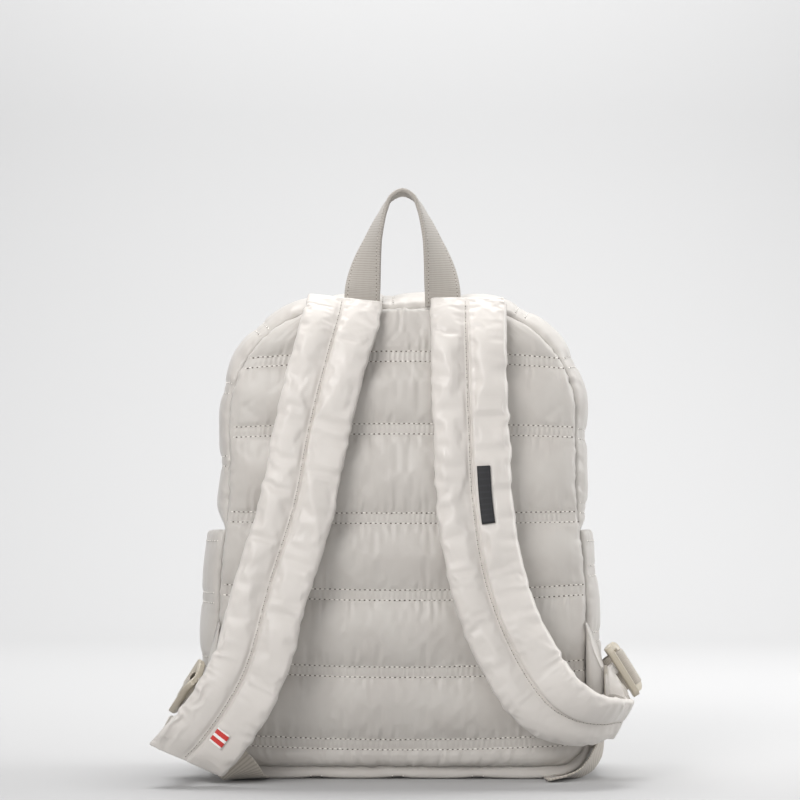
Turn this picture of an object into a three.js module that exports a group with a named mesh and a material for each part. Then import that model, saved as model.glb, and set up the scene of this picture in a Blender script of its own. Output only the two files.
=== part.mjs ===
// A quilted mini backpack standing on its base, with a webbing handle, two padded shoulder
// straps, slip pockets on the sides and adjusting webbing through ladder-lock buckles.
// Millimetres, +Z up. The side worn against the back faces -Y, and the origin is the middle
// of the base. Left and right are as seen from that side, so right is +X.
import * as THREE from "three";
import { mergeVertices } from "three/addons/utils/BufferGeometryUtils.js";

const gap = 0.3; // between pieces that are sewn or laid together
const pairWidth = 6.6; // between the two stitch rows of a quilting seam

// The two perimeter seams, where the back and front panels meet the side wall.
const seam = { halfWidth: 115, top: 312, bottom: 8, topRadius: 72, bottomRadius: 22, depth: 100 };
// The bag widens below: all of it from flare.low down, none of it above flare.high.
const flare = { share: 0.055, low: 115, high: 200 };

// wall: cloth where stitching pulls it flat. swell: crown of the whole piece. puff: of one channel.
const panel = { wall: 2.2, swell: 12, puff: 6, rimReach: 24 };
const gusset = { wall: 2.2, swell: 8.5, topSwell: 12, baseSwell: 11, puff: 3, rimReach: 0.45 };
// The side wall swells most over the top, above crest, and under the base, below hem.
const crest = { low: 230, high: 300 };
const hem = { low: 8, high: 30 };
// A pocket presses the wall behind it: what is left of its swell and puff, and over which heights.
const pressed = { swell: 0.6, puff: 0.2, bottomLow: 12, bottomHigh: 52, topLow: 158, topHigh: 182 };
const zip = { halfWidth: 0.15, tape: 1.6, coil: 1.4, steps: 30 };
const pocket = { mouth: 164, fullAt: 95, bottom: 22, wall: 2.2, puff: 2.2, edge: 0.97 };
// How far the pockets stand off the wall at their mouth and lower down.
const pocketRoom = { right: { mouth: 6, belly: 9.5 }, left: { mouth: 12.5, belly: 14.5 } };
const webbing = { width: 25, thick: 1.6, stub: 2.4, steps: 64 };

// Quilting seams of the two panels: height at the middle, and how much the ends rise at the sides.
const panelSeams = [
  { height: 21, endRise: 3.5 },
  { height: 69, endRise: 4.5 },
  { height: 120, endRise: 3.5 },
  { height: 171, endRise: 1 },
  { height: 229, endRise: -2 },
  { height: 279, endRise: -4.5 },
];

// Quilting seams of the side wall, by distance along the perimeter seam: from the middle of the
// top for the strips beside the zip, and from the middle of the base for the lower wall.
const archSeams = [-217, -168, -121, -78, -35, 10, 52, 95, 138, 186];
const lowerSeams = [-204, -154, -104, -54, -3, 47, 97, 147, 197];
const pocketSeams = { right: [93, 137], left: [76, 119] };

// The shoulder straps from the top seam down. The outer face looks along faceTurn, in degrees from
// -Y towards +X, and faceRise, in degrees above level. pad is the thickness of the filled lobes,
// and skew slants the cut end.
const strapRows = {
  strap_right: [
    { x: 43.5, y: -57.2, z: 317.5, faceTurn: 0, faceRise: 40, width: 50, pad: 4 },
    { x: 43.6, y: -64, z: 305, faceTurn: 0, faceRise: 18, width: 51, pad: 7.5 },
    { x: 43.8, y: -71.5, z: 284, faceTurn: 0, faceRise: 10, width: 50, pad: 11 },
    { x: 45.3, y: -77.5, z: 231, faceTurn: 0, faceRise: 3, width: 50, pad: 11 },
    { x: 47.8, y: -81, z: 180, faceTurn: 2, faceRise: 3, width: 50, pad: 11 },
    { x: 53.4, y: -86, z: 141.5, faceTurn: 4, faceRise: 3, width: 50, pad: 11 },
    { x: 60.3, y: -90, z: 116, faceTurn: 4, faceRise: 2, width: 50, pad: 11 },
    { x: 70.5, y: -94, z: 91, faceTurn: 4, faceRise: -2, width: 50, pad: 11 },
    { x: 85, y: -97, z: 66, faceTurn: 4, faceRise: -12, width: 50, pad: 11 },
    { x: 97, y: -97, z: 52.5, faceTurn: 6, faceRise: -24, width: 49, pad: 11 },
    { x: 112, y: -92, z: 44.5, faceTurn: 14, faceRise: -38, width: 48, pad: 11 },
    { x: 129, y: -82, z: 41, faceTurn: 26, faceRise: -44, width: 46, pad: 9 },
    { x: 142, y: -72, z: 42, faceTurn: 40, faceRise: -40, width: 44, pad: 5 },
  ],
  strap_left: [
    { x: -37.8, y: -57.2, z: 317.5, faceTurn: 0, faceRise: 40, width: 50, pad: 4 },
    { x: -40.2, y: -64.4, z: 305, faceTurn: 0, faceRise: 18, width: 51, pad: 7.5 },
    { x: -46, y: -72, z: 284, faceTurn: 0, faceRise: 10, width: 50, pad: 11 },
    { x: -59, y: -77.5, z: 231, faceTurn: -2, faceRise: 4, width: 50, pad: 11 },
    { x: -68.5, y: -82, z: 180, faceTurn: -3, faceRise: 4, width: 50, pad: 11 },
    { x: -84.1, y: -88, z: 128.5, faceTurn: -4, faceRise: 4, width: 50, pad: 11 },
    { x: -97.5, y: -94, z: 78, faceTurn: -4, faceRise: 2, width: 50, pad: 11 },
    { x: -110, y: -97, z: 53, faceTurn: -4, faceRise: -2, width: 50, pad: 11 },
    { x: -128, y: -97, z: 28, faceTurn: -6, faceRise: -10, width: 50, pad: 10 },
    { x: -138.7, y: -92.5, z: 17, faceTurn: -10, faceRise: -24, width: 49, pad: 5, skew: 8 },
  ],
};
const strapSection = { edge: 3.2, seam: 4.6, columns: [-1, -0.82, -0.42, 0, 0.42, 0.82, 1], steps: 28 };

// Ladder-lock buckles: the plate, the edges of its three bars along it, and where each one hangs:
// its centre, the direction across the webbing, and where its face looks.
const buckle = { width: 37, thick: 4.4, corner: 3, slot: 26.6, slotCorner: 1 };
const buckleBars = { edge: -13.5, tabSide: -9.5, before: -2.4, after: 2.4, lipSide: 9, lip: 13.5 };
const buckleRows = {
  right: { x: 149.5, y: -38, z: 72, acrossX: 0.55, acrossY: 0, acrossZ: -0.83, faceTurn: 64, faceRise: 31 },
  left: { x: -149, y: -40, z: 58.5, acrossX: 0.5, acrossY: 0, acrossZ: 0.86, faceTurn: -84, faceRise: 30 },
};

// Padded wings in the side seams: the stretch of seam they are sewn to and their outer edge.
const wing = { low: 43, high: 104, rootX: 121.7, rootY: -52, wall: 2, pad: 6.5, upSteps: 6, reachSteps: 5 };
const wingTips = {
  right: { x: 132.2, y: -57, low: 51, high: 74.5 },
  left: { x: 129.5, y: -56, low: 42.6, high: 66 },
};

// The carry handle, from one foot to the middle of its arch.
const handleRows = [
  { x: 27, y: -53.4, z: 312.8, turn: 0 },
  { x: 26.6, y: -53.2, z: 324, turn: 8 },
  { x: 24.5, y: -51.5, z: 340, turn: 34 },
  { x: 20, y: -50, z: 358, turn: 60 },
  { x: 13.5, y: -49.5, z: 376, turn: 78 },
  { x: 8, y: -49.5, z: 386, turn: 86 },
  { x: 0, y: -49.5, z: 390, turn: 90 },
];
const handle = { width: 24, thick: 3, steps: 28 };

// Woven tabs on the straps: the stretch of strap they cover, and their reach from the centre seam.
const labelRows = {
  label_right: { strap: "strap_right", from: 0.291, to: 0.36, inner: 0.06, outer: 0.4 },
  label_left: { strap: "strap_left", from: 0.835, to: 0.88, inner: 0.06, outer: 0.44 },
};
const label = { lift: 0.7, thick: 0.9, steps: 4 };

const finishes = {
  nylon: { color: 0xcdc8c2, roughness: 0.5, metalness: 0 },
  ribbed: { color: 0xbab3ab, roughness: 0.75, metalness: 0 },
  plastic: { color: 0xbab2a3, roughness: 0.4, metalness: 0 },
  zipTape: { color: 0xb4aea6, roughness: 0.6, metalness: 0 },
  darkLabel: { color: 0x1c1c1c, roughness: 0.8, metalness: 0 },
  redLabel: { color: 0xc8413b, roughness: 0.8, metalness: 0 },
};

const pack = new THREE.Group();

function addPiece(name, geometry, finish) {
  const mesh = new THREE.Mesh(geometry, new THREE.MeshStandardMaterial(finishes[finish]));
  mesh.name = name;
  pack.add(mesh);
}

// A box grid with each corner moved to its place on a piece; u, v and w run from 0 to 1.
function mould(uSteps, vSteps, wSteps, place) {
  const grid = new THREE.BoxGeometry(1, 1, 1, uSteps, vSteps, wSteps);
  grid.deleteAttribute("normal");
  grid.deleteAttribute("uv");
  const geometry = mergeVertices(grid);
  const corners = geometry.getAttribute("position");
  const corner = new THREE.Vector3();
  for (let i = 0; i < corners.count; i++) {
    corner.fromBufferAttribute(corners, i).addScalar(0.5);
    const spot = place(corner.x, corner.y, corner.z);
    corners.setXYZ(i, spot.x, spot.y, spot.z);
  }
  geometry.computeVertexNormals();
  return geometry;
}

const lerp = THREE.MathUtils.lerp;
const clamp = THREE.MathUtils.clamp;
const smoothstep = THREE.MathUtils.smoothstep;
const degrees = THREE.MathUtils.degToRad;

// The entry of a list that a grid share of 0 to 1 falls on.
const pick = (list, share) => list[Math.round(share * (list.length - 1))];

// Quarter-round rise from 0 at a rim to 1 at its reach.
const roundRise = (distance, reach) => Math.sqrt(1 - (1 - clamp(distance / reach, 0, 1)) ** 2);

// Where sections lie between two seams: three where the quilting shows most, two elsewhere.
const fullChannel = [0.18, 0.5, 0.82];
const plainChannel = [0.25, 0.75];
// Filled cloth is blunter than a half round: its lobes follow a sine to this power.
const lobeBluntness = 0.6;
// The panels' crown falls off as this power of the distance to the seams.
const crownFall = 0.7;

// Stations across quilting seams: both stitch rows of each pair, and the filled channels between.
function quiltStations(seams, low, high, shares) {
  const stations = [{ at: low, endRise: 0, loft: 0 }];
  let floor = stations[0];
  const channelTo = (ceiling) => {
    for (const share of shares) {
      const endRise = lerp(floor.endRise, ceiling.endRise, share);
      const loft = Math.sin(share * Math.PI) ** lobeBluntness;
      stations.push({ at: lerp(floor.at, ceiling.at, share), endRise, loft });
    }
  };
  for (const { at, endRise } of seams) {
    const lower = { at: at - pairWidth / 2, endRise, loft: 0 };
    channelTo(lower);
    floor = { at: at + pairWidth / 2, endRise, loft: 0 };
    stations.push(lower, floor);
  }
  const last = { at: high, endRise: 0, loft: 0 };
  channelTo(last);
  stations.push(last);
  return stations;
}

// How much wider the bag is at a height than the plain outline.
const flareAt = (z) => 1 + flare.share * (1 - smoothstep(z, flare.low, flare.high));

// Half the width inside the perimeter seam at a height, before the flare.
function halfWidthAt(z) {
  const topStart = seam.top - seam.topRadius;
  const bottomStart = seam.bottom + seam.bottomRadius;
  if (z > topStart) {
    return seam.halfWidth - seam.topRadius + Math.sqrt(seam.topRadius ** 2 - (z - topStart) ** 2);
  }
  if (z < bottomStart) {
    return seam.halfWidth - seam.bottomRadius + Math.sqrt(seam.bottomRadius ** 2 - (bottomStart - z) ** 2);
  }
  return seam.halfWidth;
}

// How far a panel stands out from the plane of its seam.
function panelLift(x, z, u, loft) {
  const inside = Math.min((1 - Math.abs(u)) * halfWidthAt(z), seam.top - z, z - seam.bottom);
  const middle = (seam.top + seam.bottom) / 2;
  const crown = (1 - (x / seam.halfWidth) ** 2) * (1 - ((z - middle) / (seam.top - middle)) ** 2);
  const rise = roundRise(inside, panel.rimReach);
  return { crown: panel.swell * crown ** crownFall, puff: panel.puff * loft * rise };
}

const panelColumns = [-1, -0.96, -0.86, -0.64, -0.3, 0, 0.3, 0.64, 0.86, 0.96, 1];

// side is -1 for the back panel and 1 for the front one.
function panelGeometry(side, shares) {
  const seams = panelSeams.map((row) => ({ at: row.height, endRise: row.endRise }));
  const rows = quiltStations(seams, seam.bottom, seam.top, shares);
  return mould(panelColumns.length - 1, 1, rows.length - 1, (acrossShare, depthShare, upShare) => {
    const u = pick(panelColumns, acrossShare);
    const row = pick(rows, upShare);
    const z = row.at + row.endRise * u * u;
    const x = u * halfWidthAt(z);
    const { crown, puff } = panelLift(x, z, u, row.loft);
    const outer = (depthShare > 0.5) === (side > 0);
    const lift = gap / 2 + crown + (outer ? panel.wall + puff : 0);
    return new THREE.Vector3(x * flareAt(z), side * (seam.depth / 2 + lift), z);
  });
}

addPiece("back_panel", panelGeometry(-1, fullChannel), "nylon");
addPiece("front_panel", panelGeometry(1, plainChannel), "nylon");

// The perimeter seam as a path in X and Z, from the middle of the base up the right side.
const outline = new THREE.Path();
outline.moveTo(0, seam.bottom);
outline.lineTo(seam.halfWidth - seam.bottomRadius, seam.bottom);
outline.absarc(seam.halfWidth - seam.bottomRadius, seam.bottom + seam.bottomRadius, seam.bottomRadius,
  -Math.PI / 2, 0);
outline.absarc(seam.halfWidth - seam.topRadius, seam.top - seam.topRadius, seam.topRadius, 0, Math.PI / 2);
outline.absarc(seam.topRadius - seam.halfWidth, seam.top - seam.topRadius, seam.topRadius,
  Math.PI / 2, Math.PI);
outline.absarc(seam.bottomRadius - seam.halfWidth, seam.bottom + seam.bottomRadius, seam.bottomRadius,
  Math.PI, Math.PI * 1.5);
outline.lineTo(0, seam.bottom);
const outlineLength = outline.getLength();
const cornerStart = seam.halfWidth - seam.bottomRadius;
const sideStart = cornerStart + (Math.PI / 2) * seam.bottomRadius;
const alongAt = (z) => sideStart + z - seam.bottom - seam.bottomRadius;

// A point of the side wall: along the seam from the middle of the base, v from -1 at the back seam
// to 1 at the front one, and lift outwards. Cloth that would pass below floor is pressed flat.
function wallPoint(along, v, lift, floor = 0) {
  const share = THREE.MathUtils.euclideanModulo(along, outlineLength) / outlineLength;
  const foot = outline.getPoint(share);
  const way = outline.getTangent(share);
  const x = foot.x * flareAt(foot.y) + way.y * lift;
  const z = Math.max(foot.y - way.x * lift, floor);
  return new THREE.Vector3(x, v * (seam.depth / 2 - gap / 2), z);
}

// How far a pocket presses in the wall behind it, from 0 to 1.
function coveredAt(z) {
  const { bottomLow, bottomHigh, topLow, topHigh } = pressed;
  return smoothstep(z, bottomLow, bottomHigh) * (1 - smoothstep(z, topLow, topHigh));
}

// The wall's swell and the puff of its channels at a place.
function wallSwell(along, v) {
  const { z } = wallPoint(along, 0, 0);
  const low = lerp(gusset.baseSwell, gusset.swell, smoothstep(z, hem.low, hem.high));
  const free = lerp(low, gusset.topSwell, smoothstep(z, crest.low, crest.high));
  return lerp(free, pressed.swell, coveredAt(z)) * Math.sqrt(1 - v * v);
}

function wallPuff(along, v, loft) {
  const { z } = wallPoint(along, 0, 0);
  const puff = gusset.puff * lerp(1, pressed.puff, coveredAt(z));
  return puff * loft * roundRise(1 - Math.abs(v), gusset.rimReach);
}

// A strip of the side wall between two stations along the seam, with v listed across it.
function wallStrip(stations, columns) {
  return mould(stations.length - 1, columns.length - 1, 1, (alongShare, acrossShare, outShare) => {
    const { at, loft } = pick(stations, alongShare);
    const v = pick(columns, 1 - acrossShare);
    const swell = wallSwell(at, v);
    if (outShare > 0.5) {
      return wallPoint(at, v, swell + wallPuff(at, v, loft));
    }
    return wallPoint(at, v, swell - gusset.wall, gusset.wall);
  });
}

const mouthAlong = alongAt(pocket.mouth);
const joint = gap / 2;
const archStations = quiltStations(
  archSeams.map((distance) => ({ at: outlineLength / 2 + distance, endRise: 0 })),
  mouthAlong + joint, outlineLength - mouthAlong - joint, fullChannel);
const lowerStations = quiltStations(
  lowerSeams.map((distance) => ({ at: distance, endRise: 0 })),
  joint - mouthAlong, mouthAlong - joint, plainChannel);
const zipEdge = zip.halfWidth + (2 * gap) / seam.depth;
const backColumns = [-1, -0.95, -0.82, -0.55, -zipEdge];

addPiece("gusset_back", wallStrip(archStations, backColumns), "nylon");
addPiece("gusset_front", wallStrip(archStations, backColumns.map((v) => -v).reverse()), "nylon");
addPiece("gusset_lower", wallStrip(lowerStations, [-1, -0.93, -0.66, 0, 0.66, 0.93, 1]), "nylon");

// The zip: a tape between the two strips with its coil raised along the middle.
const zipColumns = [-zip.halfWidth, 0, zip.halfWidth];
addPiece("zip", mould(zip.steps, zipColumns.length - 1, 1, (alongShare, acrossShare, outShare) => {
  const along = lerp(mouthAlong + joint, outlineLength - mouthAlong - joint, alongShare);
  const v = pick(zipColumns, 1 - acrossShare);
  const inner = wallSwell(along, v) - gusset.wall;
  const coil = v === 0 ? zip.coil : 0;
  return wallPoint(along, v, outShare > 0.5 ? inner + zip.tape + coil : inner);
}), "zipTape");

// A slip pocket over the lower side wall, sewn along its sides and bottom and open at its mouth.
const pocketColumns = [-1, -0.9, -0.66, -0.33, 0, 0.33, 0.66, 0.9, 1].map((v) => v * pocket.edge);

function pocketGeometry(side, room, heights) {
  const seams = heights.map((height) => ({ at: height, endRise: 0 }));
  const rows = quiltStations(seams, pocket.bottom, pocket.mouth - joint, fullChannel);
  return mould(rows.length - 1, pocketColumns.length - 1, 1, (upShare, acrossShare, outShare) => {
    const { at, loft } = pick(rows, side > 0 ? upShare : 1 - upShare);
    const v = pick(pocketColumns, 1 - acrossShare);
    const along = side * alongAt(at);
    const across = 1 - (v / pocket.edge) ** 2;
    const belly = smoothstep(at, pocket.bottom, pocket.fullAt) * room.belly;
    const hollow = lerp(belly, room.mouth, smoothstep(at, pocket.fullAt, pocket.mouth));
    const edgeRise = roundRise(1 - Math.abs(v) / pocket.edge, gusset.rimReach);
    const under = wallSwell(along, v) + wallPuff(along, v, 1) + gap;
    const inner = under + hollow * across;
    const lift = outShare > 0.5 ? inner + pocket.wall + pocket.puff * loft * edgeRise : inner;
    return wallPoint(along, v, lift);
  });
}

addPiece("pocket_right", pocketGeometry(1, pocketRoom.right, pocketSeams.right), "nylon");
addPiece("pocket_left", pocketGeometry(-1, pocketRoom.left, pocketSeams.left), "nylon");

// The direction an outer face looks: turn from -Y towards +X, then rise above level.
function facing(turn, rise) {
  const level = Math.cos(degrees(rise));
  return new THREE.Vector3(
    Math.sin(degrees(turn)) * level, -Math.cos(degrees(turn)) * level, Math.sin(degrees(rise)));
}

// A flat band through rows that hold a point, and either a face or an across direction. at(share)
// gives the middle point, the across, outward and along directions, and the other columns.
function band(rows) {
  const path = new THREE.CatmullRomCurve3(rows.map((row) => row.point));
  return (share) => {
    const place = share * (rows.length - 1);
    const lower = rows[Math.min(Math.floor(place), rows.length - 2)];
    const upper = rows[Math.min(Math.floor(place), rows.length - 2) + 1];
    const between = place - Math.min(Math.floor(place), rows.length - 2);
    const way = path.getTangent(share);
    const across = new THREE.Vector3();
    if (lower.face) {
      across.lerpVectors(lower.face, upper.face, between).cross(way).normalize();
    } else {
      across.lerpVectors(lower.across, upper.across, between);
      across.addScaledVector(way, -across.dot(way)).normalize();
    }
    const out = new THREE.Vector3().crossVectors(way, across);
    const mix = (column) => lerp(lower[column], upper[column], between);
    return { point: path.getPoint(share), across, out, way, mix };
  };
}

// A point of a band's cross-section.
function bandPoint(place, acrossDistance, outDistance) {
  return place.point.clone()
    .addScaledVector(place.across, acrossDistance)
    .addScaledVector(place.out, outDistance);
}

// A band of even thickness, its width and thickness taken from columns of its rows.
function bandGeometry(rows, steps, columns) {
  const at = band(rows);
  return mould(columns, 1, steps, (acrossShare, outShare, alongShare) => {
    const place = at(alongShare);
    return bandPoint(place, (acrossShare - 0.5) * place.mix("width"), (outShare - 0.5) * place.mix("thick"));
  });
}

// Half the thickness of a strap at a share of its half width: a filled lobe each side of the seam.
function strapHalf(a, pad) {
  const lobe = Math.sin(Math.PI * Math.abs(a)) ** lobeBluntness;
  const thin = lerp(strapSection.seam, strapSection.edge, Math.abs(a));
  const flat = Math.min(thin, pad);
  return (flat + (pad - flat) * lobe) / 2;
}

const strapBands = {};
for (const [name, rows] of Object.entries(strapRows)) {
  const at = band(rows.map((row) => ({
    skew: 0,
    ...row,
    point: new THREE.Vector3(row.x, row.y, row.z),
    face: facing(row.faceTurn, row.faceRise),
  })));
  strapBands[name] = at;
  const { columns, steps } = strapSection;
  addPiece(name, mould(columns.length - 1, 1, steps, (acrossShare, outShare, alongShare) => {
    const place = at(alongShare);
    const a = pick(columns, acrossShare);
    const half = strapHalf(a, place.mix("pad"));
    const spot = bandPoint(place, (a * place.mix("width")) / 2, outShare > 0.5 ? half : -half);
    return spot.addScaledVector(place.way, -a * place.mix("skew"));
  }), "nylon");
}

for (const [name, row] of Object.entries(labelRows)) {
  const at = strapBands[row.strap];
  const columns = [row.inner, row.outer];
  addPiece(name, mould(1, 1, label.steps, (acrossShare, outShare, alongShare) => {
    const place = at(lerp(row.from, row.to, alongShare));
    const a = pick(columns, acrossShare);
    const lift = strapHalf(a, place.mix("pad")) + label.lift + outShare * label.thick;
    return bandPoint(place, (a * place.mix("width")) / 2, lift);
  }), name === "label_left" ? "redLabel" : "darkLabel");
}

// The handle: webbing that turns on edge over its arch, so that a hand closes round it.
const handleLeg = (side) => handleRows.map((row) => ({
  ...handle,
  point: new THREE.Vector3(side * row.x, row.y, row.z),
  across: new THREE.Vector3(side * Math.cos(degrees(row.turn)), Math.sin(degrees(row.turn)), 0),
}));
addPiece("handle",
  bandGeometry([...handleLeg(-1), ...handleLeg(1).slice(0, -1).reverse()], handle.steps, 1), "ribbed");

function roundedRectangle(path, left, low, right, high, radius) {
  path.moveTo(left + radius, low);
  path.absarc(right - radius, low + radius, radius, -Math.PI / 2, 0);
  path.absarc(right - radius, high - radius, radius, 0, Math.PI / 2);
  path.absarc(left + radius, high - radius, radius, Math.PI / 2, Math.PI);
  path.absarc(left + radius, low + radius, radius, Math.PI, Math.PI * 1.5);
  return path;
}

// A ladder-lock frame: three bars and two slots, with the webbing over the middle bar.
function buckleGeometry() {
  const { edge, tabSide, before, after, lipSide, lip } = buckleBars;
  const half = buckle.width / 2;
  const frame = roundedRectangle(new THREE.Shape(), -half, edge, half, lip, buckle.corner);
  const slotHalf = buckle.slot / 2;
  for (const [low, high] of [[tabSide, before], [after, lipSide]]) {
    frame.holes.push(roundedRectangle(new THREE.Path(), -slotHalf, low, slotHalf, high, buckle.slotCorner));
  }
  const plate = { depth: buckle.thick, bevelEnabled: false, curveSegments: 2 };
  const geometry = new THREE.ExtrudeGeometry(frame, plate);
  geometry.translate(0, 0, -buckle.thick / 2);
  geometry.deleteAttribute("normal");
  geometry.deleteAttribute("uv");
  return mergeVertices(geometry);
}

// The end tab's loop round the first bar and the webbing's way over the middle bar, as distances
// along the frame and out of its face.
const tabLoop = [
  { along: -22, out: 1.1 },
  { along: -15.5, out: 3 },
  { along: -11.5, out: 3.7 },
  { along: -8.4, out: 2.9 },
  { along: -7.6, out: 0 },
  { along: -8.4, out: -2.9 },
  { along: -11.5, out: -3.7 },
  { along: -15.5, out: -3 },
  { along: -21, out: -1.2 },
];
const webbingLoop = [
  { along: -6.4, out: -9 },
  { along: -5.6, out: -3.4 },
  { along: -5, out: 1.2 },
  { along: -2.6, out: 5 },
  { along: 0, out: 5.7 },
  { along: 2.6, out: 5 },
  { along: 5.2, out: 1.2 },
  { along: 6, out: -3.4 },
  { along: 6.4, out: -5.5 },
];

// From the wing's tip round to the back of the buckle, and from the buckle down to the floor, with
// the direction across the webbing. Both tails end tucked under the rounded lower edge of the bag.
const leadRows = {
  right: [
    { x: 135.7, y: -53, z: 62.8, acrossX: 0.22, acrossY: 0.07, acrossZ: -0.97 },
    { x: 136, y: -46, z: 63.2, acrossX: 0.47, acrossY: 0.22, acrossZ: -0.86 },
  ],
  left: [
    { x: -136.6, y: -56.6, z: 54.2, acrossX: 0, acrossY: 0.02, acrossZ: 1 },
    { x: -140.1, y: -51.7, z: 54, acrossX: 0.28, acrossY: 0.06, acrossZ: 0.95 },
  ],
};
const tailRows = {
  right: [
    { x: 142.9, y: -30.7, z: 67.2, acrossX: 0.6, acrossY: -0.42, acrossZ: -0.68 },
    { x: 137.6, y: -30.1, z: 60.4, acrossX: 0.28, acrossY: -0.88, acrossZ: -0.38 },
    { x: 131.6, y: -30.2, z: 48, acrossX: -0.23, acrossY: -0.97, acrossZ: -0.05 },
    { x: 134.2, y: -34.1, z: 36.9, acrossX: 0.12, acrossY: -0.99, acrossZ: 0.04 },
    { x: 139, y: -41.1, z: 27, acrossX: -0.16, acrossY: -0.98, acrossZ: -0.09 },
    { x: 125.2, y: -47.5, z: 14, acrossX: -0.22, acrossY: -0.98, acrossZ: 0 },
    { x: 116.5, y: -53, z: 5.2, acrossX: -0.1, acrossY: -1, acrossZ: 0 },
    { x: 106, y: -57.8, z: 1.9, acrossX: 0, acrossY: -1, acrossZ: 0 },
    { x: 94, y: -59, z: 1.2, acrossX: 0, acrossY: -1, acrossZ: 0 },
  ],
  left: [
    { x: -140.6, y: -30.8, z: 53.4, acrossX: 0.67, acrossY: -0.24, acrossZ: 0.7 },
    { x: -135.9, y: -33.5, z: 48.4, acrossX: 0.46, acrossY: -0.56, acrossZ: 0.69 },
    { x: -134.3, y: -42.1, z: 40.7, acrossX: 0.31, acrossY: -0.5, acrossZ: 0.81 },
    { x: -136.6, y: -53, z: 32.9, acrossX: 0.3, acrossY: -0.57, acrossZ: 0.77 },
    { x: -127, y: -60.5, z: 24.6, acrossX: 0.55, acrossY: -0.21, acrossZ: 0.81 },
    { x: -115, y: -72.5, z: 16.5, acrossX: 0.8, acrossY: 0, acrossZ: 0.55 },
    { x: -106.5, y: -72.5, z: 8.5, acrossX: 0.75, acrossY: -0.25, acrossZ: 0.58 },
    { x: -102.6, y: -65.4, z: 3.3, acrossX: 0.89, acrossY: -0.4, acrossZ: 0.2 },
    { x: -101, y: -57, z: 1.7, acrossX: 0.97, acrossY: -0.25, acrossZ: 0.05 },
    { x: -100.5, y: -48.5, z: 1.2, acrossX: 1, acrossY: -0.1, acrossZ: 0 },
  ],
};
// The end tabs stand on the backs of the strap ends, shift along the cut edge and inset from it.
const tab = {
  startWidth: 26, endWidth: 22, startThick: 3, thick: 1.6, inset: 2.2, lift: 3.3, stub: 3, steps: 36,
};
const tabRuns = {
  right: { shift: 9, x: 141.8, y: -66.5, z: 61 },
  left: { shift: -12, x: -149.5, y: -77, z: 42 },
};

for (const [side, sign] of [["right", 1], ["left", -1]]) {
  const row = buckleRows[side];
  const centre = new THREE.Vector3(row.x, row.y, row.z);
  const face = facing(row.faceTurn, row.faceRise);
  const across = new THREE.Vector3(row.acrossX, row.acrossY, row.acrossZ);
  across.addScaledVector(face, -across.dot(face)).normalize();
  const along = new THREE.Vector3().crossVectors(face, across);
  const onBuckle = (spot) => centre.clone()
    .addScaledVector(along, spot.along)
    .addScaledVector(face, spot.out);

  const frame = buckleGeometry();
  frame.applyMatrix4(new THREE.Matrix4().makeBasis(across, along, face).setPosition(centre));
  addPiece(`buckle_${side}`, frame, "plastic");

  const cut = strapBands[`strap_${side}`](1);
  const cutEdge = cut.across.clone().multiplyScalar(cut.mix("width") / 2);
  cutEdge.addScaledVector(cut.way, -cut.mix("skew")).normalize();
  const pastCut = new THREE.Vector3().crossVectors(cutEdge, cut.out);
  const foot = (lift) => cut.point.clone()
    .addScaledVector(cutEdge, tabRuns[side].shift)
    .addScaledVector(pastCut, -tab.inset)
    .addScaledVector(cut.out, -lift);
  const tabAcross = cutEdge.clone().multiplyScalar(Math.sign(cutEdge.dot(across)));
  const tabRow = (point, share) => ({
    point,
    across: tabAcross.clone().lerp(across, share),
    width: lerp(tab.startWidth, tab.endWidth, share),
    thick: lerp(tab.startThick, tab.thick, share),
  });
  const { x, y, z } = tabRuns[side];
  const tabRows = [
    tabRow(foot(tab.lift), 0),
    tabRow(foot(tab.lift + tab.stub), 0),
    tabRow(new THREE.Vector3(x, y, z), 0.5),
    ...tabLoop.map((spot) => tabRow(onBuckle(spot), 1)),
  ];
  addPiece(`tab_${side}`, bandGeometry(tabRows, tab.steps, 1), "nylon");

  const { low, high } = wingTips[side];
  const root = new THREE.Vector2(wing.rootX, wing.rootY);
  const tip = new THREE.Vector2(wingTips[side].x, wingTips[side].y);
  const reach = tip.clone().sub(root).normalize();
  const level = new THREE.Vector3(0, 0, -sign);
  addPiece(`wing_${side}`, mould(wing.upSteps, 1, wing.reachSteps, (upShare, outShare, reachShare) => {
    const up = sign > 0 ? upShare : 1 - upShare;
    const z = lerp(lerp(wing.low, wing.high, up), lerp(low, high, up), reachShare);
    const fill = Math.sqrt(Math.sin(Math.PI * up) * Math.sin(Math.PI * reachShare));
    const half = (wing.wall + (wing.pad - wing.wall) * fill) / 2;
    const spot = root.clone().lerp(tip, reachShare);
    spot.addScaledVector(new THREE.Vector2(reach.y, -reach.x), outShare > 0.5 ? half : -half);
    return new THREE.Vector3(sign * spot.x, spot.y, z);
  }), "nylon");

  const beyondTip = (distance) => {
    const spot = tip.clone().addScaledVector(reach, distance);
    return { point: new THREE.Vector3(sign * spot.x, spot.y, (low + high) / 2), across: level };
  };
  const placed = (spot) => ({
    point: new THREE.Vector3(spot.x, spot.y, spot.z),
    across: new THREE.Vector3(spot.acrossX, spot.acrossY, spot.acrossZ),
  });
  const webbingRows = [
    beyondTip(3 * gap),
    beyondTip(webbing.stub),
    ...leadRows[side].map(placed),
    ...webbingLoop.map((spot) => ({ point: onBuckle(spot), across })),
    ...tailRows[side].map(placed),
  ].map((entry) => ({ ...webbing, ...entry }));
  addPiece(`webbing_${side}`, bandGeometry(webbingRows, webbing.steps, 1), "ribbed");
}

export default pack;
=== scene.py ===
import math
import bpy
import bmesh
import numpy as np
from mathutils import Matrix, Vector


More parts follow.
